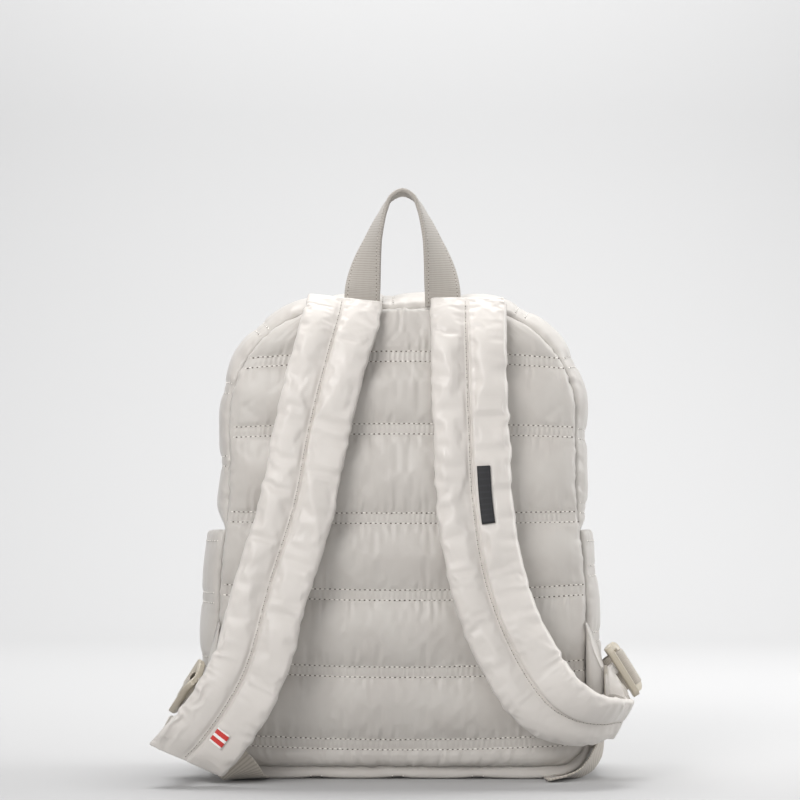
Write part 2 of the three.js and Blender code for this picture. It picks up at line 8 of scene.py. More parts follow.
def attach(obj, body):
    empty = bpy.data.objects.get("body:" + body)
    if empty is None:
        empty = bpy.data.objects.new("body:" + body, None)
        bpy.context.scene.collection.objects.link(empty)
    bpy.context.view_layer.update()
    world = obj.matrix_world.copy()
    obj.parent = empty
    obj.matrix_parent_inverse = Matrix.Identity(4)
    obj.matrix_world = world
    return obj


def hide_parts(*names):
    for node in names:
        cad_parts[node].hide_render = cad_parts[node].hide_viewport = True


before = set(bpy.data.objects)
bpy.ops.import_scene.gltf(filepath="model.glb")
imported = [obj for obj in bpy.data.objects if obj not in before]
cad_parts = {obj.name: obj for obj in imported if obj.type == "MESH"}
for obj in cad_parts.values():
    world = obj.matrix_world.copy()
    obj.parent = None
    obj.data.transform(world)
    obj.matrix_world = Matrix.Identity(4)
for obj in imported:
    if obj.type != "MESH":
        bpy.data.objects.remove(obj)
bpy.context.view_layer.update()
mm = 0.001
print("frame loaded:", len(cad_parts), "nodes")

# camera: a little below the middle of the bag and slightly to its right, looking slightly up
view = {"eye": (18, -1550, 172), "aim": (-1.7, -50, 250.7), "focal": 101.4, "sensor": 36}
cameraData = bpy.data.cameras.new("photo_camera")
cameraData.sensor_width = view["sensor"]
cameraData.lens = view["focal"]
camera = bpy.data.objects.new("photo_camera", cameraData)
bpy.context.collection.objects.link(camera)
camera.location = Vector(view["eye"]) * mm
camera.rotation_euler = (Vector(view["aim"]) - Vector(view["eye"])).to_track_quat("-Z", "Y").to_euler()
bpy.context.scene.camera = camera


def toLinear(hexColour):
    values = [int(hexColour[i:i + 2], 16) / 255 for i in (0, 2, 4)]
    return [v / 12.92 if v <= 0.04045 else ((v + 0.055) / 1.055) ** 2.4 for v in values] + [1.0]


def addNode(tree, kind, settings, links=()):
    node = tree.nodes.new(kind)
    for name, value in settings.items():
        if isinstance(name, str) and name not in node.inputs:
            setattr(node, name, value)
        else:
            node.inputs[name].default_value = value
    for socket, source in dict(links).items():
        tree.links.new(source, node.inputs[socket])
    return node


def setRamp(node, *stops):
    for element, (position, colour) in zip(node.color_ramp.elements, stops):
        element.position = position
        element.color = toLinear(colour)


def newMaterial(name):
    material = bpy.data.materials.new(name)
    material.use_nodes = True
    tree = material.node_tree
    tree.nodes.clear()
    return material, tree


waveUnit = 0.314159  # a wave texture of scale 1 has bands this far apart

# nylon taffeta, calendered to a satin face: soft broad highlights, a hint of weave, slight tone changes
# threads are about 0.25 mm apart, drawn at 0.8 mm so that they show
taffetaLook = {"light": "c5c1bb", "dark": "bdb8b2", "thread": 0.8, "weaveDepth": 0.022, "slub": 3.5,
               "tone": 28, "roughness": 0.42, "glossChange": 0.05}


def taffeta(name, look):
    material, tree = newMaterial(name)
    uv = addNode(tree, "ShaderNodeUVMap", {"uv_map": "cut"})
    coords = addNode(tree, "ShaderNodeTexCoord", {})
    yarn = {"Scale": waveUnit / look["thread"], "Distortion": 0.4}
    warp = addNode(tree, "ShaderNodeTexWave", {"bands_direction": "X", **yarn}, {"Vector": uv.outputs["UV"]})
    weft = addNode(tree, "ShaderNodeTexWave", {"bands_direction": "Y", **yarn}, {"Vector": uv.outputs["UV"]})
    weave = addNode(tree, "ShaderNodeMath", {"operation": "ADD"},
                    {0: warp.outputs["Fac"], 1: weft.outputs["Fac"]})
    slubs = addNode(tree, "ShaderNodeTexNoise",
                    {"Scale": 1 / (look["slub"] * mm), "Detail": 3.0, "Roughness": 0.55},
                    {"Vector": coords.outputs["Object"]})
    relief = addNode(tree, "ShaderNodeMath", {"operation": "MULTIPLY_ADD", 1: 1.2},
                     {0: slubs.outputs["Fac"], 2: weave.outputs["Value"]})
    bump = addNode(tree, "ShaderNodeBump", {"Strength": 0.55, "Distance": look["weaveDepth"] * mm},
                   {"Height": relief.outputs["Value"]})
    cloud = addNode(tree, "ShaderNodeTexNoise", {"Scale": 1 / (look["tone"] * mm), "Detail": 4.0},
                    {"Vector": coords.outputs["Object"]})
    tone = addNode(tree, "ShaderNodeValToRGB", {}, {"Fac": cloud.outputs["Fac"]})
    setRamp(tone, (0.3, look["dark"]), (0.7, look["light"]))
    gloss = addNode(tree, "ShaderNodeMapRange", {"To Min": look["roughness"] - look["glossChange"],
                                                 "To Max": look["roughness"] + look["glossChange"]},
                    {"Value": cloud.outputs["Fac"]})
    shader = addNode(tree, "ShaderNodeBsdfPrincipled",
                     {"IOR": 1.46, "Specular IOR Level": 0.42, "Sheen Weight": 0.18, "Sheen Roughness": 0.45},
                     {"Base Color": tone.outputs["Color"], "Roughness": gloss.outputs["Result"],
                      "Normal": bump.outputs["Normal"]})
    addNode(tree, "ShaderNodeOutputMaterial", {}, {"Surface": shader.outputs["BSDF"]})
    return material


# woven polyester webbing: matt, with close ribs across it and a finer weave between them, and painted shade
# in the grooves between the ribs
webbingLook = {"light": "aaa59e", "grooveShade": "9a948c", "rib": 1.3, "cord": 1.1, "depth": 0.045,
               "roughness": 0.78}


def ribbedWebbing(name, look):
    material, tree = newMaterial(name)
    uv = addNode(tree, "ShaderNodeUVMap", {"uv_map": "cut"})
    ribs = addNode(tree, "ShaderNodeTexWave",
                   {"bands_direction": "Y", "Scale": waveUnit / look["rib"],
                    "Distortion": 0.6, "Detail": 1.0},
                   {"Vector": uv.outputs["UV"]})
    cords = addNode(tree, "ShaderNodeTexWave", {"bands_direction": "X", "Scale": waveUnit / look["cord"]},
                    {"Vector": uv.outputs["UV"]})
    weave = addNode(tree, "ShaderNodeMath", {"operation": "MULTIPLY"},
                    {0: ribs.outputs["Fac"], 1: cords.outputs["Fac"]})
    height = addNode(tree, "ShaderNodeMath", {"operation": "MULTIPLY_ADD", 1: 0.6},
                     {0: weave.outputs["Value"], 2: ribs.outputs["Fac"]})
    # the grooves between the ribs are painted darker: painted shade in the recesses of the weave
    tone = addNode(tree, "ShaderNodeValToRGB", {}, {"Fac": height.outputs["Value"]})
    setRamp(tone, (0.05, look["grooveShade"]), (0.75, look["light"]))
    bump = addNode(tree, "ShaderNodeBump", {"Strength": 0.7, "Distance": look["depth"] * mm},
                   {"Height": height.outputs["Value"]})
    shader = addNode(tree, "ShaderNodeBsdfPrincipled",
                     {"IOR": 1.5, "Roughness": look["roughness"], "Specular IOR Level": 0.3,
                      "Sheen Weight": 0.25, "Sheen Roughness": 0.5},
                     {"Base Color": tone.outputs["Color"], "Normal": bump.outputs["Normal"]})
    addNode(tree, "ShaderNodeOutputMaterial", {}, {"Surface": shader.outputs["BSDF"]})
    return material


# acetal, moulded: an even beige with a soft gloss and the faint grain of the mould
acetalLook = {"colour": "c2baaa", "shade": "b7ae9d", "grain": 0.7, "depth": 0.015, "roughness": 0.36}


def mouldedAcetal(name, look):
    material, tree = newMaterial(name)
    coords = addNode(tree, "ShaderNodeTexCoord", {})
    grain = addNode(tree, "ShaderNodeTexNoise", {"Scale": 1 / (look["grain"] * mm), "Detail": 2.0},
                    {"Vector": coords.outputs["Object"]})
    tone = addNode(tree, "ShaderNodeValToRGB", {}, {"Fac": grain.outputs["Fac"]})
    setRamp(tone, (0, look["shade"]), (1, look["colour"]))
    bump = addNode(tree, "ShaderNodeBump", {"Strength": 0.4, "Distance": look["depth"] * mm},
                   {"Height": grain.outputs["Fac"]})
    shader = addNode(tree, "ShaderNodeBsdfPrincipled", {"IOR": 1.48, "Roughness": look["roughness"]},
                     {"Base Color": tone.outputs["Color"], "Normal": bump.outputs["Normal"]})
    addNode(tree, "ShaderNodeOutputMaterial", {}, {"Surface": shader.outputs["BSDF"]})
    return material


# spun polyester thread, twisted: a plain colour with a soft sheen
threadLook = {"twist": 0.5, "depth": 0.04}


def threadFinish(name, colour, roughness):
    material, tree = newMaterial(name)
    coords = addNode(tree, "ShaderNodeTexCoord", {})
    twist = addNode(tree, "ShaderNodeTexWave",
                    {"bands_direction": "DIAGONAL", "Scale": waveUnit / (threadLook["twist"] * mm)},
                    {"Vector": coords.outputs["Object"]})
    bump = addNode(tree, "ShaderNodeBump", {"Strength": 0.4, "Distance": threadLook["depth"] * mm},
                   {"Height": twist.outputs["Fac"]})
    shader = addNode(tree, "ShaderNodeBsdfPrincipled",
                     {"Base Color": toLinear(colour), "Roughness": roughness, "Sheen Weight": 0.2},
                     {"Normal": bump.outputs["Normal"]})
    addNode(tree, "ShaderNodeOutputMaterial", {}, {"Surface": shader.outputs["BSDF"]})
    return material


# damask label ribbon: flat woven polyester, fine ribs, stripes of two yarns across it
ribbonLook = {"rib": 0.7, "depth": 0.05, "roughness": 0.62}


def labelRibbon(name, ground, stripe, stripeWidth, stripeGap):
    material, tree = newMaterial(name)
    uv = addNode(tree, "ShaderNodeUVMap", {"uv_map": "cut"})
    axes = addNode(tree, "ShaderNodeSeparateXYZ", {}, {"Vector": uv.outputs["UV"]})
    ribs = addNode(tree, "ShaderNodeTexWave",
                   {"bands_direction": "Y", "Scale": waveUnit / ribbonLook["rib"]},
                   {"Vector": uv.outputs["UV"]})
    turn = addNode(tree, "ShaderNodeMath", {"operation": "PINGPONG", 1: stripeGap}, {0: axes.outputs["Y"]})
    band = addNode(tree, "ShaderNodeMath", {"operation": "LESS_THAN", 1: stripeWidth},
                   {0: turn.outputs["Value"]})
    tone = addNode(tree, "ShaderNodeValToRGB", {}, {"Fac": band.outputs["Value"]})
    setRamp(tone, (0, ground), (1, stripe))
    bump = addNode(tree, "ShaderNodeBump", {"Strength": 0.5, "Distance": ribbonLook["depth"] * mm},
                   {"Height": ribs.outputs["Fac"]})
    shader = addNode(tree, "ShaderNodeBsdfPrincipled",
                     {"Roughness": ribbonLook["roughness"], "Sheen Weight": 0.1},
                     {"Base Color": tone.outputs["Color"], "Normal": bump.outputs["Normal"]})
    addNode(tree, "ShaderNodeOutputMaterial", {}, {"Surface": shader.outputs["BSDF"]})
    return material


nylon = taffeta("nylon_taffeta", taffetaLook)
# the straps' nylon is the same cloth painted a little lighter and a little less rough: painted light for the
# extra light the straps catch
strapNylonPaintedLighter = taffeta("nylon_taffeta_painted_lighter",
                     {**taffetaLook, "light": "d7d2cc", "dark": "cfcac4", "roughness": 0.38})
webbingFabric = ribbedWebbing("polyester_webbing", webbingLook)
# the adjusting webbing is a finer weave than the handle's, painted paler as painted light to make up for the
# shade it lies in
fineWebbingPaintedPaler = ribbedWebbing("fine_polyester_webbing_painted_paler",
                            {**webbingLook, "light": "bcb5ab", "grooveShade": "a49d92",
                             "cord": 0.8, "depth": 0.06})
zipFabric = ribbedWebbing("zip_tape_weave",
                          {**webbingLook, "light": "aca69e", "rib": 0.9, "cord": 0.9, "depth": 0.05})
acetal = mouldedAcetal("moulded_acetal", acetalLook)
thread = threadFinish("spun_polyester_thread", "e6e2dc", 0.5)
webbingThread = threadFinish("webbing_thread", "bab4ac", 0.6)
needleShade = threadFinish("needle_hole_shade", "5f574d", 0.9)
blackRibbon = labelRibbon("black_label_ribbon", "17171a", "1f1f23", 0.6, 2.0)
redRibbon = labelRibbon("red_white_label_ribbon", "c9352f", "f1eeea", 0.9, 2.3)
print("materials ready")


# shape tools, all in millimetres until a mesh is made
def smooth(x, low, high):
    t = np.clip((x - low) / (high - low), 0, 1)
    return t * t * (3 - 2 * t)


def roundRise(distance, reach):
    t = np.clip(distance / reach, 0, 1)
    return np.sqrt(np.maximum(1 - (1 - t) ** 2, 0))


# smooth seeded bumps between -1 and 1, one per unit
def crumple(x, y, seed):
    column, row = np.floor(x), np.floor(y)
    s, t = x - column, y - row
    s, t = s * s * (3 - 2 * s), t * t * (3 - 2 * t)

    def corner(i, j):
        value = np.sin((column + i) * 127.1 + (row + j) * 311.7 + seed * 74.7) * 43758.5453
        return 2 * (value - np.floor(value)) - 1

    low = corner(0, 0) * (1 - s) + corner(1, 0) * s
    high = corner(0, 1) * (1 - s) + corner(1, 1) * s
    return low * (1 - t) + high * t


def unit(vectors):
    return vectors / np.maximum(np.linalg.norm(vectors, axis=-1, keepdims=True), 1e-9)


def runLength(points):
    return np.concatenate([[0], np.cumsum(np.linalg.norm(np.diff(points, axis=0), axis=1))])


# points read from a table by a value between its knots
def readAt(value, knots, points):
    return np.stack([np.interp(value, knots, points[:, k]) for k in range(3)], axis=-1)


# evenly spaced shares drawn together at the ends of each wave
def crowded(shares, strength, waves):
    turn = 2 * math.pi * waves
    return shares - strength * np.sin(turn * shares) / turn


def aboveFloor(spots, least):
    spots[:, 2] = np.maximum(spots[:, 2], least)
    return spots


# which way a surface faces, from two short steps over it
def outward(surface, u, v, step):
    du = surface(u + step[0], v) - surface(u - step[0], v)
    dv = surface(u, v + step[1]) - surface(u, v - step[1])
    return unit(np.cross(du, dv))


# quilting: pairs of stitch rows with filled channels between them
quilt = {"pair": 6.8, "bluntness": 0.6, "pitch": 3.3}


def quiltRows(seams, low, high):
    rows = [low]
    for at in seams:
        rows += [at - quilt["pair"] / 2, at + quilt["pair"] / 2]
    return np.array(rows + [high])


def quiltPlace(s, rows):
    k = np.clip(np.searchsorted(rows, s, side="right") - 1, 0, len(rows) - 2)
    toLow, toHigh = s - rows[k], rows[k + 1] - s
    share = np.clip(toLow / (rows[k + 1] - rows[k]), 0, 1)
    filled = k % 2 == 0
    loft = np.where(filled, np.sin(np.pi * share) ** quilt["bluntness"], 0)
    return loft, np.minimum(toLow, toHigh), np.where(toLow < toHigh, k, k + 1), filled


def loftAt(s, rows):
    return quiltPlace(s, rows)[0]


# small gathers square to the stitching, long and short, and the ripples between a pair of rows
gathers = {"wave": 2.5, "height": 1.1, "short": 3, "long": 10, "group": 7, "wander": 0.4,
           "wanderWave": (9, 6), "rippleGroup": 11, "rippleHeight": 0.5, "held": 2}


def gatherRelief(along, s, rows, seed, scale=1.0):
    _, away, nearest, filled = quiltPlace(s, rows)
    # each row of stitches has folds of its own
    longer = 0.5 + 0.5 * crumple(along / gathers["group"], nearest * 3.7 + 0.5, seed)
    reach = gathers["short"] + gathers["long"] * longer ** 2
    wander = crumple(along / gathers["wanderWave"][0], away / gathers["wanderWave"][1], seed + 1)
    fold = crumple(along / gathers["wave"] + gathers["wander"] * wander, nearest * 5.3 + 0.5, seed + 2)
    folds = gathers["height"] * scale * fold * np.exp(-away / reach)
    strength = 0.55 + 0.45 * crumple(along / gathers["rippleGroup"], np.floor(s / 20) + 0.5, seed + 3)
    ripples = gathers["rippleHeight"] * strength * np.sin(2 * math.pi * along / quilt["pitch"])
    drawnDown = 0.2 + 0.8 * smooth(away, 0, gathers["held"])  # the thread holds the cloth down along its row
    return np.where(filled, folds, ripples) * drawnDown


def gridStops(rows, step, least=2):
    stops = [rows[:1]]
    for low, high in zip(rows[:-1], rows[1:]):
        count = max(least, round((high - low) / step))
        stops.append(np.linspace(low, high, count + 1)[1:])
    return np.concatenate(stops)


# a grid of cloth laid on a surface, its UV map "cut" in millimetres of flat cloth
def layGrid(surface, us, vs, cut, flip=False):
    bm = bmesh.new()
    bmesh.ops.create_grid(bm, x_segments=len(us) - 1, y_segments=len(vs) - 1, size=0.5, calc_uvs=False)
    column = np.array([round((v.co.x + 0.5) * (len(us) - 1)) for v in bm.verts])
    row = np.array([round((v.co.y + 0.5) * (len(vs) - 1)) for v in bm.verts])
    spots = surface(us[column], vs[row]) * mm
    cutLayer = bm.loops.layers.uv.new("cut")
    for face in bm.faces:
        for loop in face.loops:
            share = loop.vert.co
            loop[cutLayer].uv = ((share.x + 0.5) * cut[0], (share.y + 0.5) * cut[1])
    for vert, spot in zip(bm.verts, spots):
        vert.co = spot
    if flip:
        bmesh.ops.reverse_faces(bm, faces=bm.faces[:])
    return bm


def keepMesh(name, bm):
    mesh = bpy.data.meshes.new(name)
    bm.to_mesh(mesh)
    bm.free()
    return mesh


def finishMesh(name, bm, material):
    for face in bm.faces:
        face.smooth = True
    mesh = keepMesh(name, bm)
    mesh.materials.append(material)
    piece = bpy.data.objects.new(name, mesh)
    bpy.context.collection.objects.link(piece)
    return piece


def addWall(piece, thickness, offset=-1):
    wall = piece.modifiers.new("wall", "SOLIDIFY")
    wall.thickness = thickness * mm
    wall.offset = offset
    wall.use_rim = True


def addTrim(piece):
    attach(piece, "root")


def place(piece, node):
    addTrim(piece)
    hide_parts(node)


# the filled cloth settles: sewn points stay, and the rest swells a little under pressure
filling = {"pressure": 1.2, "mass": 0.12, "tension": 8.0, "bending": 0.05, "frames": 14, "cap": 2.4,
           "grid": 3.4, "slack": 0.004}


def settle(name, surface, us, vs, sewnU, sewnV, flip, slack=filling["slack"]):
    piece = finishMesh(name, layGrid(surface, us, vs, (1, 1), flip), nylon)
    columns = [int(np.argmin(np.abs(us - u))) for u in sewnU]
    rows = [int(np.argmin(np.abs(vs - v))) for v in sewnV]
    index = np.arange(len(piece.data.vertices))
    held = np.isin(index % len(us), columns) | np.isin(index // len(us), rows)
    piece.vertex_groups.new(name="sewn").add([int(i) for i in index[held]], 1.0, "REPLACE")
    cloth = piece.modifiers.new("filling", "CLOTH")
    cloth.settings.vertex_group_mass = "sewn"
    cloth.settings.quality = 4
    cloth.settings.mass = filling["mass"]
    cloth.settings.tension_stiffness = filling["tension"]
    cloth.settings.compression_stiffness = filling["tension"]
    cloth.settings.shear_stiffness = filling["tension"] / 2
    cloth.settings.bending_stiffness = filling["bending"]
    cloth.settings.use_pressure = True
    cloth.settings.uniform_pressure_force = filling["pressure"]
    cloth.settings.shrink_min = -slack
    cloth.settings.effector_weights.gravity = 0
    cloth.collision_settings.use_collision = False
    cloth.point_cache.frame_end = filling["frames"]
    start = np.empty(len(index) * 3)
    piece.data.vertices.foreach_get("co", start)
    for step in range(1, filling["frames"] + 1):
        bpy.context.scene.frame_set(step)
    shaped = piece.evaluated_get(bpy.context.evaluated_depsgraph_get())
    end = np.empty(len(index) * 3)
    shaped.data.vertices.foreach_get("co", end)
    move = (end - start).reshape(-1, 3) / mm
    length = np.linalg.norm(move, axis=1, keepdims=True)
    move *= np.minimum(1, filling["cap"] / np.maximum(length, 1e-6))
    bpy.data.objects.remove(piece)
    bpy.context.scene.frame_set(1)
    print(name, "settled, most movement", round(float(length.max()), 2), "mm")
    return {"move": move.reshape(len(vs), len(us), 3), "us": us, "vs": vs}


# smooth reading of a settled grid between its points
def settledAt(settled, u, v):
    def locate(knots, value):
        k = np.clip(np.searchsorted(knots, value, side="right") - 1, 0, len(knots) - 2)
        return k, np.clip((value - knots[k]) / (knots[k + 1] - knots[k]), 0, 1)

    def weights(t):
        return [-0.5 * t + t ** 2 - 0.5 * t ** 3, 1 - 2.5 * t ** 2 + 1.5 * t ** 3,
                0.5 * t + 2 * t ** 2 - 1.5 * t ** 3, -0.5 * t ** 2 + 0.5 * t ** 3]

    i, s = locate(settled["us"], u)
    j, t = locate(settled["vs"], v)
    total = 0
    for dj, rowWeight in zip(range(-1, 3), weights(t)):
        row = np.clip(j + dj, 0, len(settled["vs"]) - 1)
        for di, columnWeight in zip(range(-1, 3), weights(s)):
            column = np.clip(i + di, 0, len(settled["us"]) - 1)
            total = total + settled["move"][row, column] * (rowWeight * columnWeight)[:, None]
    return total


# a surface with its settled shape and its fine relief; nothing sinks into the floor
# outSide is 1 or -1, whichever turns the grid's own normal outwards
def dressed(base, relief, step, outSide, settled):
    def surface(u, v):
        spot = base(u, v) + outSide * outward(base, u, v, step) * relief(u, v)[:, None]
        if settled is not None:
            spot = spot + settledAt(settled, u, v)
        return aboveFloor(spot, 0)
    return surface


# rows of stitches: each a short bright thread with a dark dot at its end, painted shade where the thread
# sinks into its needle hole
stitch = {"bold": {"bar": (2.2, 1.1, 1.0), "hole": (1.4, 1.15, 0.5)},
          "quiet": {"bar": (1.8, 0.7, 0.6), "hole": (0.9, 0.7, 0.25)},
          "quietRows": ("straps", "handle"), "barLift": 0.08, "holeShadeLift": 0.04,
          "hiddenBelow": 1, "reach": 0.6}
threads = {}


def sewRow(group, surface, us, vs, step, outSide, pitch=quilt["pitch"], lift=0.0):
    spots = surface(us, vs)
    normals = outSide * outward(surface, us, vs, step)
    length = runLength(spots)
    centres = np.arange(pitch / 2, length[-1], pitch)
    here, normal = readAt(centres, length, spots), readAt(centres, length, normals)
    way = readAt(centres + stitch["reach"], length, spots) - readAt(centres - stitch["reach"], length, spots)
    shown = here[:, 2] >= stitch["hiddenBelow"]  # the rest is pressed flat between the base and the floor
    sewn = zip(here[shown] + lift * normal[shown], way[shown], normal[shown])
    threads.setdefault(group, []).extend((*row, pitch) for row in sewn)


def stitchFrame(spot, along, normal, sizes, shift):
    x = Vector(along).normalized()
    z = Vector(normal)
    y = z.cross(x).normalized()
    z = x.cross(y)
    turn = Matrix((x, y, z)).transposed().to_4x4()
    middle = (Vector(spot) + x * shift[0] + z * shift[1]) * mm
    return Matrix.Translation(middle) @ turn @ Matrix.Diagonal((*(s * mm for s in sizes), 1))


def scatter(name, shape, frames, material):
    bm = bmesh.new()
    for matrix in frames:
        copy = shape.copy()
        copy.transform(matrix)
        bm.from_mesh(copy)
        bpy.data.meshes.remove(copy)
    return finishMesh(name, bm, material)


# the perimeter seam between the panels and the side wall
seam = {"halfWidth": 115, "top": 312, "bottom": 8, "topRadius": 72, "bottomRadius": 22, "depth": 100}
flare = {"share": 0.055, "low": 115, "high": 200}  # the bag widens towards its base
clothWall = 1.6


def flareAt(z):
    return 1 + flare["share"] * (1 - smooth(z, flare["low"], flare["high"]))


def halfWidthAt(z):
    overTop = np.maximum(z - (seam["top"] - seam["topRadius"]), 0)
    underBase = np.maximum(seam["bottom"] + seam["bottomRadius"] - z, 0)
    topCut = seam["topRadius"] - np.sqrt(np.maximum(seam["topRadius"] ** 2 - overTop ** 2, 0))
    baseCut = seam["bottomRadius"] - np.sqrt(np.maximum(seam["bottomRadius"] ** 2 - underBase ** 2, 0))
    return seam["halfWidth"] - topCut - baseCut


# the two quilted panels
panels = {"back_panel": {"side": -1, "seed": 11}, "front_panel": {"side": 1, "seed": 47}}
panel = {"wall": 2.2, "seamLift": 0.2, "swell": 12, "swellPower": 0.7, "swellReach": 14, "puff": 4.3,
         "rimReach": 20, "rimRoll": 3.6, "columns": 290, "rowStep": 1.9, "fillColumns": 64, "fill": 0.6,
         "stitchEnd": 0.985, "stitchSamples": 150}
panelFolds = {"rim": 0.7, "rimWave": 3.4, "rimSlant": 9, "rimReach": 5, "broad": 0.8, "broadWave": (38, 21),
              "fine": 0.35, "fineWave": (15, 13), "fineSlant": 30, "flatRim": 4, "fullRim": 20}
panelSeams = {"height": [23, 70.8, 121.4, 172, 231, 279.3], "endRise": [3.5, 4.5, 3.5, 1, -2, -4.5]}
panelRows = quiltRows(panelSeams["height"], seam["bottom"], seam["top"])
panelRises = np.concatenate([[0], np.repeat(panelSeams["endRise"], 2), [0]])
panelStep = (0.003, 0.35)


def panelFlat(across, up):
    z = up + np.interp(up, panelRows, panelRises) * across ** 2
    return across * halfWidthAt(z), z


def panelInside(across, up):
    _, z = panelFlat(across, up)
    return np.minimum((1 - np.abs(across)) * halfWidthAt(z), np.minimum(seam["top"] - z, z - seam["bottom"]))


def panelBase(side):
    def base(across, up):
        across = np.clip(across, -1, 1)
        up = np.clip(up, seam["bottom"], seam["top"])
        x, z = panelFlat(across, up)
        inside = panelInside(across, up)
        middle = (seam["top"] + seam["bottom"]) / 2
        crown = (1 - (x / seam["halfWidth"]) ** 2) * (1 - ((z - middle) / (seam["top"] - middle)) ** 2)
        crown = np.maximum(crown, 0) ** panel["swellPower"]
        lift = panel["seamLift"] + panel["swell"] * crown * roundRise(inside, panel["swellReach"])
        lift = lift + panel["wall"] * roundRise(inside, panel["rimRoll"])
        lift = lift + panel["puff"] * loftAt(up, panelRows) * roundRise(inside, panel["rimReach"])
        return np.stack([x * flareAt(z), side * (seam["depth"] / 2 + lift), z], axis=-1)
    return base


def panelRelief(seed):
    folds = panelFolds

    def relief(across, up):
        x, z = panelFlat(across, up)
        inside = panelInside(across, up)
        rim = crumple(x / folds["rimWave"] + z / folds["rimSlant"],
                      z / folds["rimWave"] - x / folds["rimSlant"], seed + 9)
        broad = folds["broad"] * crumple(x / folds["broadWave"][0], up / folds["broadWave"][1], seed + 4)
        fine = crumple(x / folds["fineWave"][0] + up / folds["fineSlant"],
                       up / folds["fineWave"][1], seed + 5)
        body = (broad + folds["fine"] * fine) * loftAt(up, panelRows) * roundRise(inside, folds["fullRim"])
        gathered = gatherRelief(x, up, panelRows, seed) * roundRise(inside, folds["flatRim"])
        return gathered + body + folds["rim"] * rim * np.exp(-inside / folds["rimReach"])
    return relief


panelAcross = np.sin(np.linspace(-1, 1, panel["columns"] + 1)) / math.sin(1)  # closer towards the side seams
panelCut = (2 * seam["halfWidth"], seam["top"] - seam["bottom"])
for name, shape in panels.items():
    base = panelBase(shape["side"])
    settled = settle(name + "_fill", base, np.linspace(-1, 1, panel["fillColumns"] + 1),
                     gridStops(panelRows, filling["grid"]), [-1, 1], panelRows, shape["side"] > 0)
    surface = dressed(base, panelRelief(shape["seed"]), panelStep, -shape["side"], settled)
    bm = layGrid(surface, panelAcross, gridStops(panelRows, panel["rowStep"], 3), panelCut, shape["side"] > 0)
    piece = finishMesh(name, bm, nylon)
    addWall(piece, clothWall)
    place(piece, name)
    for row in panelRows[1:-1]:
        line = np.linspace(-panel["stitchEnd"], panel["stitchEnd"], panel["stitchSamples"])
        sewRow("panels", surface, line, np.full_like(line, row), panelStep, -shape["side"])
    print(name, "made")

# the side wall: strips over the top beside the zip, and one piece under the base and up the sides
outlineParts = {"corner": seam["halfWidth"] - seam["bottomRadius"]}
outlineParts["side"] = outlineParts["corner"] + math.pi / 2 * seam["bottomRadius"]
outlineParts["shoulder"] = (outlineParts["side"] + seam["top"] - seam["bottom"]
                            - seam["bottomRadius"] - seam["topRadius"])
outlineParts["crest"] = outlineParts["shoulder"] + math.pi / 2 * seam["topRadius"]
outlineLength = 2 * (outlineParts["crest"] + seam["halfWidth"] - seam["topRadius"])


# a point of the seam and its direction, by distance from the middle of the base up the right side
def outlineAt(along):
    s = np.mod(along, outlineLength)
    mirrored = s > outlineLength / 2
    s = np.where(mirrored, outlineLength - s, s)
    low = np.clip((s - outlineParts["corner"]) / seam["bottomRadius"], 0, math.pi / 2)
    high = np.clip((s - outlineParts["shoulder"]) / seam["topRadius"], 0, math.pi / 2)
    straight = np.clip(s, outlineParts["side"], outlineParts["shoulder"]) - outlineParts["side"]
    over = np.maximum(s - outlineParts["crest"], 0)
    x = np.minimum(s, outlineParts["corner"]) + seam["bottomRadius"] * np.sin(low)
    x = x - seam["topRadius"] * (1 - np.cos(high)) - over
    z = seam["bottom"] + seam["bottomRadius"] * (1 - np.cos(low)) + straight
    z = z + seam["topRadius"] * np.sin(high)
    flip = np.where(mirrored, -1, 1)
    return x * flip, z, np.cos(low + high), np.sin(low + high) * flip


def outlineHeight(along):
    return outlineAt(along)[1]


gusset = {"wall": 2.2, "swell": 8.5, "topSwell": 12, "baseSwell": 11, "bluntness": 0.5, "baseSteeper": 0.22,
          "puff": 2.3, "rimReach": 0.45, "turnUnder": 1.2, "turnReach": 3, "roll": 4.6, "rollAt": 2.6,
          "rollReach": 2.2, "step": 1.7, "width": 1.9, "closer": 0.48, "fill": 0.5,
          "stitchEnd": 0.025, "stitchSamples": 60}
wallFolds = {"rim": 1.1, "rimWave": 3.6, "rimSlant": 7, "rimReach": 7, "broad": 0.5, "broadWave": (16, 22),
             "long": 20, "gather": 0.8, "flatRim": 4, "calm": 0.85, "baseFlat": 8.5}
crest = {"low": 230, "high": 300}
hem = {"low": 8, "high": 30}
pressed = {"swell": 0.6, "puff": 0.2, "bottomLow": 12, "bottomHigh": 52, "topLow": 158, "topHigh": 182}
pocketMouth = 164
zipTape = {"halfWidth": 0.2, "edge": 0.156, "tape": 1.1, "wall": 1.2}
joinGap = 0.15


def wallPoint(along, v, lift):
    x, z, wayX, wayZ = outlineAt(along)
    across = x * flareAt(z) + wayZ * lift
    return np.stack([across, v * (seam["depth"] / 2 - joinGap), np.maximum(z - wayX * lift, 0)], axis=-1)


def coveredAt(z):
    return (smooth(z, pressed["bottomLow"], pressed["bottomHigh"])
            * (1 - smooth(z, pressed["topLow"], pressed["topHigh"])))


def underBaseAt(z):
    return 1 - smooth(z, hem["low"], hem["high"])


def wallSwell(along, v):
    z = outlineHeight(along)
    low = gusset["baseSwell"] + (gusset["swell"] - gusset["baseSwell"]) * (1 - underBaseAt(z))
    free = low + (gusset["topSwell"] - low) * smooth(z, crest["low"], crest["high"])
    bluntness = gusset["bluntness"] - gusset["baseSteeper"] * underBaseAt(z)
    return (free + (pressed["swell"] - free) * coveredAt(z)) * np.maximum(1 - v * v, 0) ** bluntness


def wallPuff(along, v, loft):
    puff = gusset["puff"] * (1 + (pressed["puff"] - 1) * coveredAt(outlineHeight(along)))
    return puff * loft * roundRise(1 - np.abs(v), gusset["rimReach"])


